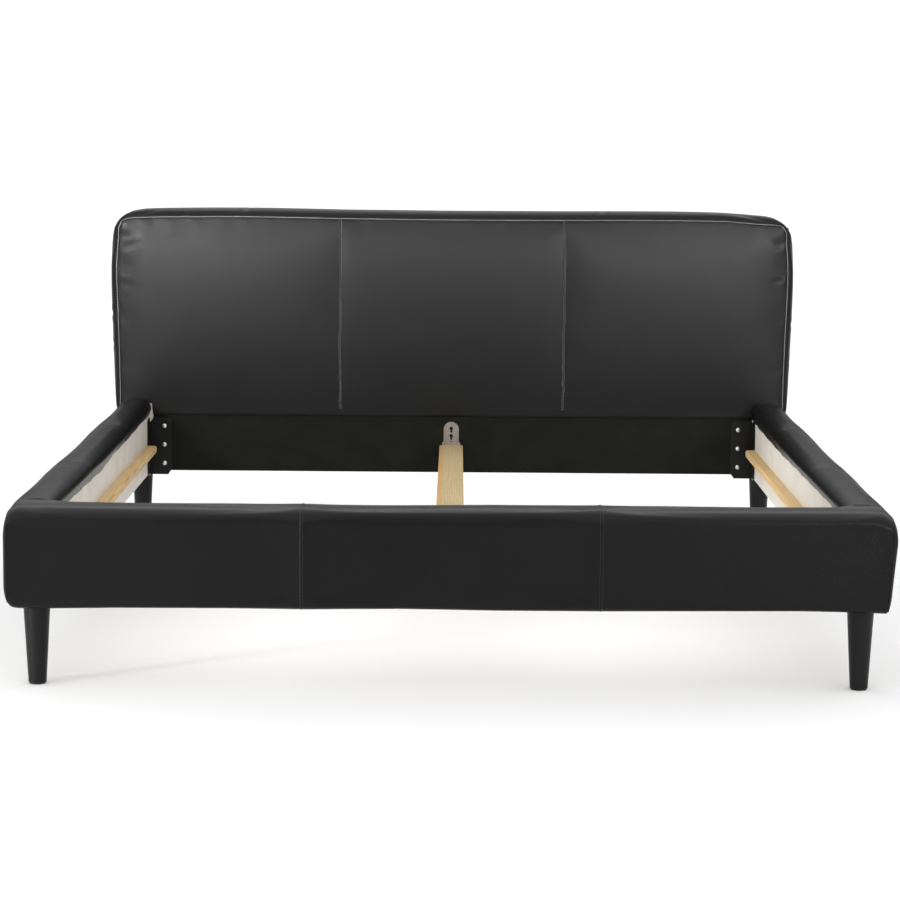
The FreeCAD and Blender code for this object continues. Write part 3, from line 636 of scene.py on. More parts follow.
def stitches(name, rows, pitch, thickness, gap, material):
    """One mesh of separate stitches along rows of (places, normals)."""
    last = (len(STITCH_RINGS) - 1) * STITCH_SIDES
    caps = [tuple(reversed(range(STITCH_SIDES))), tuple(range(last, last + STITCH_SIDES))]
    one = tube_faces(len(STITCH_RINGS), STITCH_SIDES) + caps
    verts, faces = [], []
    for places, normals in rows:
        for a, b, n in zip(places, places[1:], normals):
            run = b - a
            size = np.linalg.norm(run)
            if size > 1.8 * pitch or size < 0.3 * pitch:
                continue
            run /= size
            n = n - run * (n @ run)
            n /= np.linalg.norm(n)
            side = np.cross(run, n)
            first = len(verts)
            for t, fat, lift in STITCH_RINGS:
                centre = a + run * (gap / 2 + t * (size - gap)) + n * lift * thickness / 2
                for k in range(STITCH_SIDES):
                    turn = 2 * math.pi * k / STITCH_SIDES
                    spoke = side * math.cos(turn) + n * math.sin(turn) * 0.8
                    verts.append(centre + spoke * fat * thickness / 2)
            faces += [tuple(first + i for i in face) for face in one]
    return new_object(name, verts, faces, material)


def row_along(tree, points, aside):
    return on_surface(tree, evenly(points, STITCH_PITCH), aside)


def seam_rows(tree, seams):
    """Two rows of stitches for each seam, one on each side of it."""
    return [row_along(tree, seam, aside) for seam in seams for aside in (-ROW_ASIDE, ROW_ASIDE)]


# ---- rails ----
FLAP = 0.0025
ROOM, TIGHT_ROOM = 0.0005, 0.0002
HEM_THICKNESS = 0.0006
RAIL_SEAMS = (0.40, -0.38)
RAIL_HEM = {
    "left": (
        (-1.0, -4), (-0.74, -4), (-0.46, -7), (-0.14, -12),
        (0.09, -1), (0.42, 0), (0.72, 6), (0.99, 8),
    ),
    "right": (
        (-1.0, 3), (-0.69, 2), (-0.41, 0), (-0.10, -2),
        (0.24, -6), (0.57, -5), (0.92, -2), (0.99, 1),
    ),
}
HEM_HEIGHT = 0.380
RAIL_INNER_CORNER, RAIL_SHOULDER, RAIL_UNDER = 0.025, 0.056, 0.022
# the crown's height over the frame's: at the foot end, its rise to the head end, and the sag worn in it
CROWN_AT_FOOT, CROWN_RISE = -0.0105, 0.0135
SAG, SAG_AT, SAG_REACH = 0.003, -0.05, 0.45
RAIL_PUFF, RAIL_TAUT, RAIL_RELIEF = 0.003, 0.0016, 0.45
RAIL_WAIST, RAIL_WAIST_REACH = 0.6, 0.07
END_FADE = 0.16
# how far the outer side and the inner top edge stand out, along the rail and round the edge
RAIL_OUT_LINE = ((-1.0, 3), (-0.3, 3), (0.3, -1), (0.7, -6.5), (1.0, -8))
OUT_FROM, OUT_FADE = 0.06, 0.05
RAIL_OVERHANG = MM * np.array((0.0, 1.2, 2.8, 4.4, 5.6, 6.0, 5.6, 4.6, 3.4, 2.2, 1.0))
OVERHANG_FROM, OVERHANG_FADE = 0.05, 0.5
PAD_CAP = {"rail": 0.0045, "foot": 0.004, "head": 0.009}


def hem_height(side, y):
    """The hand-cut edge of the leather inside a rail: long waves with small nicks in them."""
    nicks = 1.1 * math.sin(y * 31.0 + len(side)) + 0.7 * math.sin(y * 73.0 + 1.0)
    return HEM_HEIGHT + line_at(RAIL_HEM[side], y) + nicks * MM


def rail_rings(side):
    """The rail pad's rings, for the right-hand rail in (x, z), with the frame's room inside."""
    low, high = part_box("rail_right_cover")
    cap_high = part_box("rail_right_top_board")[1]
    out_low, out_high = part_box("rail_right_outer_board")
    inner, outer, bottom, top = low.x, high.x, low.z, high.z
    room_x, room_z, room_low = out_high.x + ROOM, cap_high.z + ROOM, out_low.z - TIGHT_ROOM
    flap = inner + FLAP - TIGHT_ROOM
    skirt_end = out_low.x
    edges = stations(low.y, high.y, RAIL_SEAMS)
    relief = RAIL_RELIEF * grooves(edges, RAIL_SEAMS)
    rings, held = [], []
    for y, dip in zip(edges, relief):
        hem = hem_height(side, y)
        t = (y - low.y) / (high.y - low.y)
        sag = SAG * math.exp(-(((y - SAG_AT) / SAG_REACH) ** 2))
        crown = top + (CROWN_AT_FOOT + CROWN_RISE * t - sag)
        corner_x, corner_z = inner + RAIL_INNER_CORNER, crown - RAIL_INNER_CORNER
        shoulder_x, shoulder_z = outer - RAIL_SHOULDER, crown - RAIL_SHOULDER
        under_x, under_z = outer - RAIL_UNDER, bottom + RAIL_UNDER
        skin = path(
            (inner, hem),
            (4, (inner, corner_z)),
            (6, (corner_x, crown), (corner_x, corner_z)),
            (5, (shoulder_x, crown)),
            (8, (outer, shoulder_z), (shoulder_x, shoulder_z)),
            (14, (outer, under_z)),
            (4, (under_x, bottom), (under_x, under_z)),
            (2, (skirt_end, bottom)),
        )
        core = path(
            (flap, hem + HEM_THICKNESS),
            (4, (flap, room_z)),
            (6, (corner_x, room_z)),
            (5, (shoulder_x, room_z)),
            (5, (room_x, room_z)),
            (3, (room_x, shoulder_z)),
            (14, (room_x, under_z)),
            (4, (room_x, room_low)),
            (2, (skirt_end, room_low)),
        )
        near = min(abs(y - s) for s in RAIL_SEAMS)
        full = puff(len(skin), RAIL_PUFF) * waist(near, RAIL_WAIST, RAIL_WAIST_REACH)
        shift = dip + full * clamp((y - low.y) / END_FADE) - RAIL_TAUT
        shift[: len(RAIL_OVERHANG)] += RAIL_OVERHANG * clamp((y - low.y - OVERHANG_FROM) / OVERHANG_FADE)
        shift[0] = 0.0
        shift[-3:] = 0.0
        skin = skin + outward(skin) * shift[:, None]
        outside = np.clip((skin[:, 0] - outer + OUT_FROM) / OUT_FADE, 0, 1)
        skin[:, 0] += line_at(RAIL_OUT_LINE, y) * outside
        rings.append(np.concatenate([skin, core[::-1]]))
        firm = stapled(len(skin), 6)
        if near < SEAM_HELD or y < edges[1] or y > edges[-3]:
            firm[:] = 1.0
        held.append(np.concatenate([firm, np.ones(len(core))]))
    return edges, rings, np.array(held)


def rail_pad(side, made):
    edges, rings, held = rail_rings(side)
    sign = 1.0 if side == "right" else -1.0
    size = len(rings[0])
    half = size // 2
    verts = [(sign * x, y, z) for y, ring in zip(edges, rings) for x, z in ring]
    faces = tube_faces(len(rings), size)
    last = (len(rings) - 1) * size
    for i in range(half - 1):
        faces.append((i, i + 1, size - 2 - i, size - 1 - i)[::-1])
        faces.append((last + i, last + i + 1, last + size - 2 - i, last + size - 1 - i))
    if sign < 0:
        faces = [f[::-1] for f in faces]
    pad = Padding(f"rail_{side}_leather", verts, faces, held.ravel(), made["leather"], PAD_CAP["rail"])
    for s in RAIL_SEAMS:
        k = nearest(edges, s)
        pad.seams.append([k * size + i for i in range(4, half - 8)])
    pad.edge = [k * size + 1 for k in range(len(rings))]
    return pad


# ---- footboard ----
FOOT_SEAMS = (-0.332, 0.343)
FOOT_END_SEAM = 0.012
# distances from the end, close together over the end's seam
NEAR_END = (0.0, 0.0012, 0.0035, 0.0065, 0.0095, 0.0108, 0.012, 0.0132, 0.0145, 0.018)
# the ends' rounding, seen from the front above and below (by side), on the front edge and on the back
FOOT_CORNER, FOOT_EDGE, FOOT_BACK_EDGE = 0.053, 0.012, 0.004
FOOT_UNDER = {-1: 0.042, 1: 0.028}
CORNER_FROM, UNDER_FROM = 0.30, 0.25
# the section's rounding: inner top edge (tighter where the rails meet it), outer top edge, underside
FOOT_INNER, FOOT_INNER_AT_RAIL, FOOT_OVER, FOOT_BELOW = 0.016, 0.003, 0.042, 0.019
RAIL_MEETS, RAIL_MEETS_FADE = 0.885, 0.02
FOOT_TURN_IN = 0.010
END_RELIEF, SEAM_RELIEF = 0.6, 0.7
FOOT_PUFF, FOOT_TAUT, FOOT_WAIST, FOOT_WAIST_REACH = 0.0015, 0.001, 0.8, 0.05
PUFF_FROM, PUFF_FADE = 0.014, 0.03
CAP_STEPS, CAP_DOME, CAP_HELD = 9, 0.0008, 0.6
# in millimetres: how far each end is drawn in, and how much further at its foot
FOOT_ENDS = {-1: (-11.0, 0.0), 1: (-4.5, -13.0)}
DRAWN_FROM, DRAWN_FADE = 0.984, 0.03
LEAN_FROM, LEAN_FADE = 0.345, 0.14
TOP_LINE_FROM, BOTTOM_LINE_FROM = 0.33, 0.25
FOOT_TOP_LINE = (
    (-1.0, -2.5), (-0.75, -4), (-0.5, -6), (-0.33, -6.5), (-0.1, -4),
    (0.1, -1.5), (0.25, -2), (0.36, -5.5), (0.55, -4.5), (1.0, -2.5),
)
FOOT_BOTTOM_LINE = (
    (-1.0, -8), (-0.9, -8), (-0.75, -5.5), (-0.5, -4.5), (-0.32, -5.5), (-0.1, -3),
    (0.12, -5.5), (0.36, -5), (0.6, -3), (0.8, -1.5), (0.9, -3), (1.0, -6),
)


def side_of(x):
    return 1 if x > 0 else -1


def fall(distance, radius):
    """How far a rounded corner has fallen away, at a distance from its end."""
    d = min(max(distance, 0.0), radius)
    return radius - math.sqrt(radius**2 - (radius - d) ** 2)


def foot_rings():
    """The foot pad's rings in (y, z), station by station along X, closed off beyond the frame's end."""
    low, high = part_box("foot_cover")
    cap_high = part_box("foot_top_board")[1]
    out_low, out_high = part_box("foot_outer_board")
    end = high.x
    frame_end = cap_high.x
    closed = sorted([end - e for e in NEAR_END if end - e > frame_end + 0.001] + [frame_end + 0.0009])
    middle = [float(x) for x in stations(-frame_end - 0.0004, frame_end + 0.0004, FOOT_SEAMS)]
    edges = [-x for x in reversed(closed)] + middle + closed
    back, front, bottom, top = high.y, low.y, low.z, high.z
    room_y, room_z, room_low = out_low.y - ROOM, cap_high.z + ROOM, out_low.z - TIGHT_ROOM
    flap = back - FLAP + TIGHT_ROOM
    skirt_end = out_high.y
    front_in, over_z, below_z = front + FOOT_OVER, top - FOOT_OVER, bottom + FOOT_BELOW
    rings, held = [], []
    for x in edges:
        e = end - abs(x)
        under_corner = FOOT_UNDER[side_of(x)]
        hem = HEM_HEIGHT + (1.2 * math.sin(x * 23.0) + 0.8 * math.sin(x * 57.0 + 2.0) - 3.0) * MM
        at_rail = clamp((abs(x) - RAIL_MEETS) / RAIL_MEETS_FADE)
        inner = FOOT_INNER * (1 - at_rail) + FOOT_INNER_AT_RAIL * at_rail
        skin = path(
            (back, hem),
            (4, (back, top - inner)),
            (4, (back - inner, top), (back - inner, top - inner)),
            (6, (front_in, top)),
            (7, (front, over_z), (front_in, over_z)),
            (15, (front, below_z)),
            (4, (front + FOOT_BELOW, bottom), (front + FOOT_BELOW, below_z)),
            (2, (skirt_end, bottom)),
        )
        if abs(x) <= frame_end + ROOM:
            core = path(
                (flap, hem + HEM_THICKNESS),
                (4, (flap, room_z)),
                (4, (back - inner, room_z)),
                (6, (front_in, room_z)),
                (4, (room_y, room_z)),
                (3, (room_y, over_z)),
                (15, (room_y, below_z)),
                (4, (room_y, room_low)),
                (2, (skirt_end, room_low)),
            )
        else:
            turn_y, turn_z = back - FOOT_TURN_IN, bottom + FOOT_TURN_IN
            core = path(
                (back, hem - HEM_THICKNESS),
                (24, (back, turn_z)),
                (4, (turn_y, bottom), (turn_y, turn_z)),
                (14, (skirt_end + 0.001, bottom)),
            )
        shift = np.full(len(skin), END_RELIEF * groove(e - FOOT_END_SEAM))
        for s in FOOT_SEAMS:
            shift += SEAM_RELIEF * groove(x - s)
        near = min(abs(x - s) for s in FOOT_SEAMS)
        full = puff(len(skin), FOOT_PUFF) * waist(near, FOOT_WAIST, FOOT_WAIST_REACH)
        shift = shift + full * clamp((e - PUFF_FROM) / PUFF_FADE) - FOOT_TAUT
        shift[:4] = np.minimum(shift[:4], 0.0)
        shift[-3:] = 0.0
        ring = np.concatenate([skin + outward(skin) * shift[:, None], core[::-1]])
        y, z = ring[:, 0], ring[:, 1]
        if e < FOOT_CORNER + 0.001 and abs(x) > frame_end:
            tall = (top - fall(e, FOOT_CORNER), bottom + fall(e, under_corner))
            deep = (back - fall(e, FOOT_BACK_EDGE), front + fall(e, FOOT_EDGE))
            z[:] = tall[1] + (z - bottom) * (tall[0] - tall[1]) / (top - bottom)
            y[:] = deep[0] + (y - back) * (deep[1] - deep[0]) / (front - back)
        elif e < FOOT_CORNER + 0.001:
            lowered = fall(e, FOOT_CORNER) * np.clip((z - CORNER_FROM) / (top - CORNER_FROM), 0, 1)
            raised = fall(e, under_corner) * np.clip((UNDER_FROM - z) / (UNDER_FROM - bottom), 0, 1)
            change = raised - lowered
            change[len(skin):] = 0.0
            z += change
        rings.append(ring)
        firm = stapled(len(skin), 5)
        if near < SEAM_HELD or abs(e - FOOT_END_SEAM) < 0.004:
            firm[:] = 1.0
        if at_rail > 0.5:
            firm[:9] = 1.0
        held.append(np.concatenate([firm, np.ones(len(core))]))
    return edges, rings, np.array(held)


def foot_settled(x, y, z, low, high):
    """The drawn footboard's point, moved to where use has settled it: its ends, top and bottom lines."""
    drawn_in, lean = FOOT_ENDS[side_of(x)]
    share = clamp((abs(x) - DRAWN_FROM) / DRAWN_FADE)
    leaning = clamp((LEAN_FROM - z) / LEAN_FADE)
    settled_x = x + side_of(x) * share * (drawn_in + lean * leaning) * MM
    lift = line_at(FOOT_TOP_LINE, x) * clamp((z - TOP_LINE_FROM) / (high.z - TOP_LINE_FROM))
    drop = line_at(FOOT_BOTTOM_LINE, x) * clamp((BOTTOM_LINE_FROM - z) / (BOTTOM_LINE_FROM - low.z))
    return settled_x, y, z + lift + drop


def foot_pad(made):
    edges, rings, held = foot_rings()
    size = len(rings[0])
    half = size // 2
    low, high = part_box("foot_cover")
    verts = [foot_settled(x, y, z, low, high) for x, ring in zip(edges, rings) for y, z in ring]
    held = list(held.ravel())
    faces = tube_faces(len(rings), size)
    for station, flip in ((0, False), (len(rings) - 1, True)):
        base = station * size
        columns = []
        for i in range(half):
            a = np.array(verts[base + i])
            b = np.array(verts[base + size - 1 - i])
            column = [base + i]
            for k in range(1, CAP_STEPS):
                t = k / CAP_STEPS
                dome = CAP_DOME * math.sin(math.pi * t) * math.sin(math.pi * i / (half - 1))
                column.append(len(verts))
                verts.append(tuple(a + (b - a) * t + np.array([math.copysign(dome, edges[station]), 0, 0])))
                held.append(CAP_HELD)
            column.append(base + size - 1 - i)
            columns.append(column)
        for i in range(half - 1):
            for k in range(CAP_STEPS):
                face = (columns[i][k], columns[i + 1][k], columns[i + 1][k + 1], columns[i][k + 1])
                faces.append(face if flip else face[::-1])
    faces = [f[::-1] for f in faces]
    pad = Padding("foot_leather", verts, faces, held, made["leather"], PAD_CAP["foot"])
    for s in FOOT_SEAMS:
        k = nearest(edges, s)
        pad.seams.append([k * size + i for i in range(2, half - 2)])
    pad.edge = [k * size + 1 for k in range(12, len(rings) - 12)]
    return pad


# ---- headboard cushion ----
HEAD_SEAMS = (-0.333, 0.333)
# the panel's inset from the cover's box, and how far the boxing stands out round it
BOXING, BOXING_UNDER, PRESSED_DOWN = 0.024, 0.008, 0.0026
BOXING_SIDE, BOXING_TOP = 0.0155, 0.0185
BOXING_AT_CORNER = 0.013
BOXING_LOW, LOW_FROM, LOW_FADE = 0.0027, 0.62, 0.16
BOXING_HOLLOW, BOXING_DEPTH, BOXING_HELD = 0.003, 110.0, 112
HEAD_CORNER, HEAD_FOOT_CORNER = 0.033, 0.005
HEAD_CROWN, THIRDS_CROWN = 0.011, 0.002
RIM_RELIEF, RIM_ROLL, RIM_ROLL_REACH = 0.7, 0.0045, 0.009
GATHERS, GATHERS_REACH, GATHERS_FROM = 0.0006, 0.022, 0.006
RIM_HELD = 0.004


def round_corner(u, v, radius):
    """Maps a corner square's point, measured from the arc's centre, on to a quarter disc."""
    a = u * math.sqrt(max(0.0, 1 - v * v / (2 * radius * radius)))
    b = v * math.sqrt(max(0.0, 1 - u * u / (2 * radius * radius)))
    return a, b


def panel_point(x, z, box):
    """A grid point moved on to the rounded front panel, with its outward direction at the rim."""
    left, right, bottom, top = box
    for sx, ex in ((-1, left), (1, right)):
        for sz, ez, radius in ((-1, bottom, HEAD_FOOT_CORNER), (1, top, HEAD_CORNER)):
            cx, cz = ex - sx * radius, ez - sz * radius
            u, v = (x - cx) * sx, (z - cz) * sz
            if u > 1e-9 and v > 1e-9:
                a, b = round_corner(u, v, radius)
                return (cx + sx * a, cz + sz * b), (sx * a / radius, sz * b / radius)
    if abs(x - left) < 1e-9 or abs(x - right) < 1e-9:
        return (x, z), (math.copysign(1.0, x), 0.0)
    return (x, z), (0.0, 1.0 if abs(z - top) < 1e-9 else -1.0)


RIM = (0.0015, 0.0032, 0.006, 0.012)
SIDE_LINE = (
    (0.388, -2), (0.46, -2), (0.565, -0.5), (0.64, 1.5), (0.71, 4),
    (0.78, 6), (0.84, 6), (0.92, 0), (1.0, -1),
)
SIDE_DRAWN_IN = {"left": -2.2, "right": -3.0}
TOP_LINE = {
    "left": ((0.0, -2), (0.3, -0.5), (0.55, 3), (0.70, 3), (0.86, 1), (0.925, -1), (1.0, -5)),
    "right": ((0.0, -2), (0.3, -1), (0.5, 0.5), (0.65, 1), (0.8, 0), (0.86, -4), (0.9, -8), (1.0, -12)),
}
# the boxing from front to back: the share of its width, and the depth in millimetres
BOXING_PROFILE = (
    (0.07, 0.05), (0.2, 0.3), (0.4, 0.9), (0.6, 1.8), (0.78, 3.2), (0.9, 5.4), (0.97, 9.5),
    (1.0, 17.0), (1.0, 26.0), (1.0, 35.0), (1.0, 46.0), (1.0, 57.0), (1.0, 68.0), (1.0, 79.0),
    (1.0, 90.0), (1.0, 101.0), (0.95, 109.0), (0.82, 114.5), (0.6, 118.0), (0.3, 119.5),
)


def head_settled(x, z, box):
    """The drawn panel's point, moved so that its sides and top follow the sewn cover's own lines."""
    _, right, bottom, top = box
    across = abs(x) / right
    up = max(0.0, (z - bottom) / (top - bottom))
    half = "left" if x < 0 else "right"
    side = (line_at(SIDE_LINE, z) + SIDE_DRAWN_IN[half] * MM) * across**6
    lift = line_at(TOP_LINE[half], abs(x)) * up**6
    return x + math.copysign(1.0, x) * side, z + lift


def boxing_width(pz, nx, nz):
    """How far the boxing stands out in full: on the sides, above, below and at the corners."""
    above = 1 if nz > 0 else 0
    width = BOXING_SIDE + ((BOXING_TOP if above else BOXING_UNDER + PRESSED_DOWN) - BOXING_SIDE) * (nz * nz)
    width -= BOXING_AT_CORNER * abs(nx * nz) * above
    return width - BOXING_LOW * clamp((LOW_FROM - pz) / LOW_FADE) * nx * nx


def head_pad(made):
    low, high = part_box("headboard_cover")
    box = (low.x + BOXING, high.x - BOXING, low.z + BOXING_UNDER, high.z - BOXING)
    rims_x = [box[0] + r for r in RIM] + [box[1] - r for r in RIM]
    xs = stations(box[0], box[1], HEAD_SEAMS, rims_x)
    zs = stations(box[2], box[3], (), [box[3] - r for r in RIM])
    seam_relief = grooves(xs, HEAD_SEAMS)
    count_x, count_z = len(xs), len(zs)
    verts, held, places = [], [], []
    for i, x in enumerate(xs):
        for j, z in enumerate(zs):
            (px, pz), _ = panel_point(x, z, box)
            s = (px - box[0]) / (box[1] - box[0])
            h = (pz - box[2]) / (box[3] - box[2])
            arch = (1 - abs(2 * s - 1) ** 5) * (1 - abs(2 * h - 1) ** 2.6)
            thirds = abs(math.sin(3 * math.pi * s)) ** 0.7
            crown = HEAD_CROWN * arch + THIRDS_CROWN * thirds * math.sin(math.pi * h)
            rim = min(x - box[0], box[1] - x, box[3] - z)
            roll = RIM_ROLL * math.exp(-((rim / RIM_ROLL_REACH) ** 1.5))
            dip = seam_relief[i] + RIM_RELIEF * groove(rim) - roll
            gathers = math.sin(131.0 * (px - pz)) + math.sin(83.0 * (px + pz) + 1.0)
            gathered = math.exp(-((rim / GATHERS_REACH) ** 2)) * min(1.0, rim / GATHERS_FROM)
            px, pz = head_settled(px, pz, box)
            places.append((px, pz))
            verts.append((px, low.y - crown - dip + GATHERS * gathers * gathered, pz))
            near = min(abs(x - q) for q in HEAD_SEAMS)
            held.append(1.0 if near < SEAM_HELD or rim < RIM_HELD or j < 2 else 0.0)
    ring = [i * count_z for i in range(count_x)]
    ring += [(count_x - 1) * count_z + j for j in range(1, count_z)]
    ring += [i * count_z + count_z - 1 for i in range(count_x - 2, -1, -1)]
    ring += [j for j in range(count_z - 2, 0, -1)]
    corners = [i * count_z + j for i in range(count_x - 1) for j in range(count_z - 1)]
    faces = [(a, a + count_z, a + count_z + 1, a + 1) for a in corners]
    rims = [(places[n], panel_point(xs[n // count_z], zs[n % count_z], box)[1]) for n in ring]
    size = len(ring)
    previous = ring
    for share, depth in BOXING_PROFILE:
        current = []
        for (px, pz), (nx, nz) in rims:
            under = nz < -0.5
            hollow = 0.0 if under else BOXING_HOLLOW * math.sin(math.pi * min(1.0, depth / BOXING_DEPTH))
            reach = boxing_width(pz, nx, nz) * share - hollow
            current.append(len(verts))
            verts.append((px + nx * reach, low.y + depth * MM, pz + nz * reach))
            held.append(1.0 if share < 0.1 or depth > BOXING_HELD or under else 0.0)
        for k in range(size):
            m = (k + 1) % size
            faces.append((previous[k], previous[m], current[m], current[k])[::-1])
        previous = current
    back = dict(zip(ring, previous))
    for n, (px, pz) in enumerate(places):
        if n not in back:
            back[n] = len(verts)
            verts.append((px, high.y, pz))
            held.append(1.0)
    faces += [(back[a], back[a + 1], back[a + count_z + 1], back[a + count_z]) for a in corners]
    pad = Padding("headboard_leather", verts, faces, held, made["leather"], PAD_CAP["head"])
    pad.edge = ring[count_x - 1:] + [ring[0]]
    for s in HEAD_SEAMS:
        i = nearest(xs, s)
        pad.seams.append([i * count_z + j for j in range(1, count_z)])
    return pad


# ---- everything else around the leather ----
LINING_EDGE = {
    "left": (
        (0.8985, 0.3660), (0.8945, 0.3710), (0.8905, 0.3770), (0.8895, 0.3840), (0.8910, 0.3920),
        (0.8922, 0.4000), (0.8928, 0.4080), (0.8932, 0.4150), (0.8940, 0.4210),
    ),
    "right": (
        (0.9025, 0.3660), (0.9008, 0.3710), (0.8992, 0.3760), (0.8980, 0.3800), (0.8975, 0.3840),
    ),
}
LINING_WIDTH, LINING_THICKNESS, LINING_IN = 0.014, 0.0012, 0.005


def lining_end(side, made):
    """The white edge of the rail's lining, seen between the leather and the headboard."""
    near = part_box(f"rail_{side}_cover")[1].y - LINING_IN
    far = near + LINING_THICKNESS
    sign = 1.0 if side == "right" else -1.0
    verts = []
    edge = LINING_EDGE[side]
    for x, z in edge:
        for across, y in ((0.0, near), (LINING_WIDTH, near), (LINING_WIDTH, far), (0.0, far)):
            verts.append((sign * (x + across), y, z))
    faces = tube_faces(len(edge), 4)
    last = 4 * (len(edge) - 1)
    faces += [(3, 2, 1, 0), (last, last + 1, last + 2, last + 3)]
    if sign < 0:
        faces = [f[::-1] for f in faces]
    piece = new_object(f"rail_{side}_lining", verts, faces, made["leather_back"])
    piece.data.polygons.foreach_set("use_smooth", [False] * len(faces))
    return piece


STAPLE_PITCH, STAPLE_CROWN, STAPLE_WIRE = 0.045, 0.010, 0.0009
STAPLE_TILT, STAPLE_STRAY = 0.25, 0.0012


def staples(name, tree, hem, made):
    """Upholstery staples along a hem: a flat crown wire with its ends going in."""
    random.seed(len(name))
    rows = []
    for spot in evenly(hem, STAPLE_PITCH)[1:-1]:
        tilt = random.uniform(-STAPLE_TILT, STAPLE_TILT)
        spot = spot + np.array([0, 0, random.uniform(-STAPLE_STRAY, STAPLE_STRAY)])
        half = np.array([0.0, math.cos(tilt), math.sin(tilt)]) * (STAPLE_CROWN / 2)
        place, normal, _, _ = tree.find_nearest(Vector(spot))
        centre = np.array(place)
        rows.append((np.array([centre - half, centre + half]), np.array([normal, normal])))
    return stitches(name, rows, STAPLE_CROWN, STAPLE_WIRE, 0.0, made["zinc_fasteners"])


def lay_down(piece, body, replaced=()):
    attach(piece, body)
    if replaced:
        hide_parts(*replaced)


def folds_of(name):
    """The folds pulled in a pad's leather by its seams and corners, as (start, end, width, depth)."""
    if name == "head":
        low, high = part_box("headboard_cover")
        face, back, side = low.y - 0.004, high.y - 0.02, high.x
        return [
            ((-0.966, face, 0.918), (-0.925, face, 0.932), 0.0105, 0.0009),
            ((-0.968, face, 0.889), (-0.915, face, 0.908), 0.0105, 0.0008),
            ((-0.970, face, 0.776), (-0.935, face, 0.768), 0.0100, 0.0007),
            ((0.968, face, 0.905), (0.930, face, 0.922), 0.0105, 0.0012),
            ((0.970, face, 0.800), (0.945, face, 0.792), 0.0100, 0.0009),
            ((-side, face, 0.690), (-side, back, 0.684), 0.0080, 0.0030),
            ((-side, face, 0.595), (-side, back, 0.600), 0.0080, 0.0026),
            ((side, face, 0.668), (side, back, 0.672), 0.0080, 0.0028),
            ((side, face, 0.560), (side, back, 0.552), 0.0080, 0.0022),
            ((-0.62, low.y, high.z), (-0.60, back, high.z), 0.0080, 0.0016),
            ((0.44, low.y, high.z), (0.45, back, high.z), 0.0080, 0.0016),
        ]
    if name == "foot":
        return []
    sign = 1.0 if name == "right" else -1.0
    return [
        ((sign * 1.006, -0.925, 0.385), (sign * 0.955, -0.860, 0.420), 0.0090, 0.0030),
        ((sign * 1.008, -0.965, 0.360), (sign * 0.975, -0.900, 0.405), 0.0090, 0.0018),
    ]


def make_leather(made):
    """Draws, fills and folds the four pads, then sews and staples them."""
    pads = {"head": head_pad(made), "foot": foot_pad(made)}
    for side in ("left", "right"):
        pads[side] = rail_pad(side, made)
    simulate(list(pads.values()))
    seams, edges, trees = {}, {}, {}
    for name, pad in pads.items():
        points = pad.points()
        seams[name] = [points[s] for s in pad.seams]
        edges[name] = points[pad.edge]
        refine(pad.piece)
        press_folds(pad.piece, folds_of(name))
        trees[name] = surface(pad.piece)
    body = "bed_frame"
    lay_down(pads["head"].piece, body, ("headboard_cover", "headboard_foam"))
    lay_down(pads["foot"].piece, body, ("foot_cover", "foot_foam"))
    for side in ("left", "right"):
        gone = (f"rail_{side}_cover", f"rail_{side}_foam")
        lay_down(pads[side].piece, body, gone)

    def sew(name, pad, thread):
        rows = seam_rows(trees[pad], seams[pad])
        lay_down(stitches(name, rows, STITCH_PITCH, SEAM_THREAD, SEAM_GAP, made[thread]), body)

    def staple(name, pad):
        lay_down(staples(name, trees[pad], edges[pad], made), body)

    rim = [row_along(trees["head"], edges["head"], -RIM_ASIDE)]
    rim_thread = stitches("headboard_stitching", rim, STITCH_PITCH, RIM_THREAD, RIM_GAP, made["pale_thread"])
    lay_down(rim_thread, body)
    sew("headboard_seam_stitching", "head", "grey_thread")
    sew("foot_stitching", "foot", "dark_thread")
    staple("foot_staples", "foot")
    for side in ("left", "right"):
        sew(f"rail_{side}_stitching", side, "dark_thread")
        staple(f"rail_{side}_staples", side)
        lay_down(lining_end(side, made), body)


# ---- floor and light ----
FLOOR_REACH = 60.0


def add_floor():
    """A plain, pale floor."""
    r = Recipe("studio_floor")
    r.join(r.span(r.noise(0.6), 0.93, 0.95), r.shader.inputs["Base Color"])
    r.join(r.span(r.noise(3.0), 0.7, 0.8), r.shader.inputs["Roughness"])
    r.shader.inputs["Specular IOR Level"].default_value = 0.1
    corners = [(x * FLOOR_REACH, y * FLOOR_REACH, 0) for x, y in ((-1, -1), (1, -1), (1, 1), (-1, 1))]
    floor = new_object("floor", corners, [(0, 1, 2, 3)], r.material)


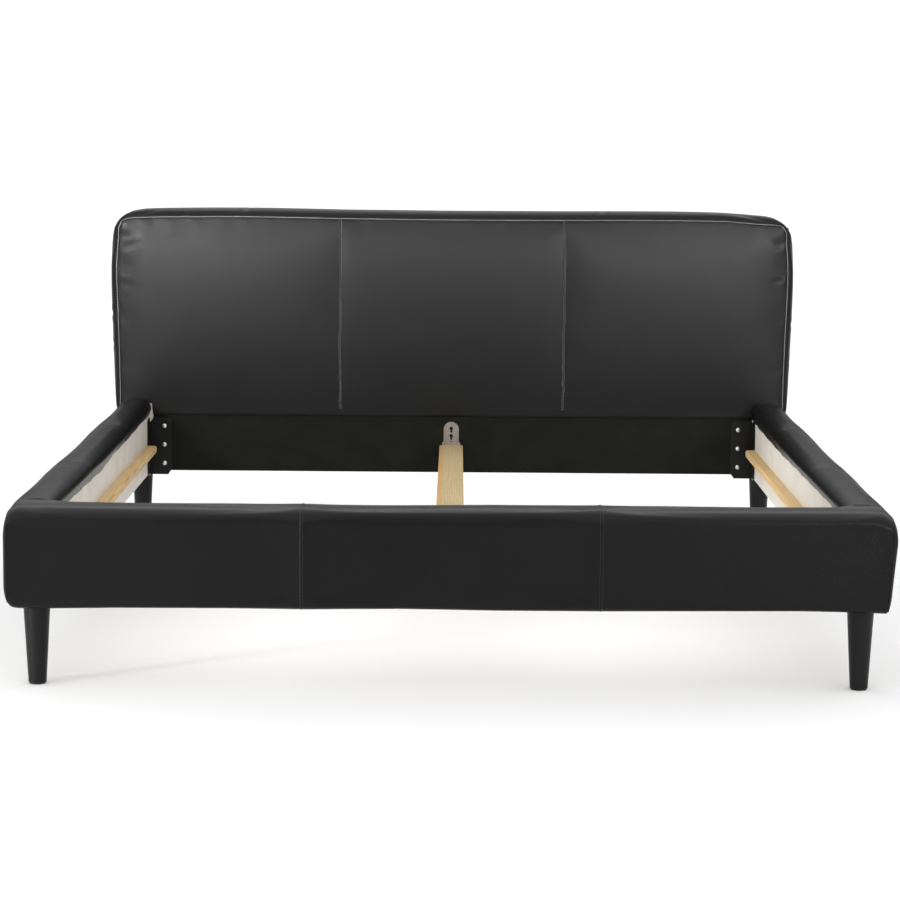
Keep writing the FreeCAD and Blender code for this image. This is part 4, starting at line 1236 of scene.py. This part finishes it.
# name, place, aim, width, height, watts, and the spread in degrees
SOFTBOXES = (
    ("key", (-3.1, -7.0, 2.3), (-0.9, 1.0, 1.12), 1.2, 1.0, 6.8, 13),
    ("fill", (2.9, -7.0, 2.0), (0.95, 1.0, 1.0), 1.6, 1.3, 5.4, 18),
    ("centre", (0.6, -7.0, 2.2), (0.3, 1.0, 1.15), 1.6, 1.0, 1.2, 12),
    ("edge", (-5.5, -4.5, 1.0), (-1.02, -1.1, 0.3), 1.0, 1.0, 2.5, 10),
)
DAYLIGHT, DAYLIGHT_ANGLE = 3.5, 145
ROOM_TINT, ROOM_STRENGTH = (0.98, 0.99, 1.0, 1.0), 0.10
BACKDROP_STRENGTH = 1.05


def new_lamp(name, kind, power):
    data = bpy.data.lights.new(name, kind)
    data.energy = power
    lamp = bpy.data.objects.new(name, data)
    scene.collection.objects.link(lamp)
    return lamp


def softbox(name, at, aim, width, height, power, spread):
    """A softbox with a grid: it lights only what lies within its spread."""
    lamp = new_lamp(name, "AREA", power)
    lamp.data.shape = "RECTANGLE"
    lamp.data.size = width
    lamp.data.size_y = height
    lamp.data.spread = math.radians(spread)
    lamp.location = at
    lamp.visible_camera = False
    lamp.rotation_mode = "QUATERNION"
    lamp.rotation_quaternion = (Vector(aim) - Vector(at)).to_track_quat("-Z", "Y")


def add_light():
    """A dim, pale room with a white backdrop, even light from straight above, and four gridded softboxes."""
    world = bpy.data.worlds.new("studio")
    scene.world = world
    world.use_nodes = True
    tree = world.node_tree
    backdrop = tree.nodes["Background"]
    backdrop.inputs["Color"].default_value = (1.0, 1.0, 1.0, 1.0)
    backdrop.inputs["Strength"].default_value = BACKDROP_STRENGTH
    room = tree.nodes.new("ShaderNodeBackground")
    room.inputs["Color"].default_value = ROOM_TINT
    room.inputs["Strength"].default_value = ROOM_STRENGTH
    rays = tree.nodes.new("ShaderNodeLightPath")
    either = tree.nodes.new("ShaderNodeMixShader")
    tree.links.new(rays.outputs["Is Camera Ray"], either.inputs[0])
    tree.links.new(room.outputs[0], either.inputs[1])
    tree.links.new(backdrop.outputs[0], either.inputs[2])
    tree.links.new(either.outputs[0], tree.nodes["World Output"].inputs["Surface"])
    new_lamp("overhead", "SUN", DAYLIGHT).data.angle = math.radians(DAYLIGHT_ANGLE)
    for box in SOFTBOXES:
        softbox(*box)
    scene.view_settings.view_transform = "Standard"


add_camera()
made = finishes()
finish_frame(made)
make_leather(made)
add_floor()
add_light()
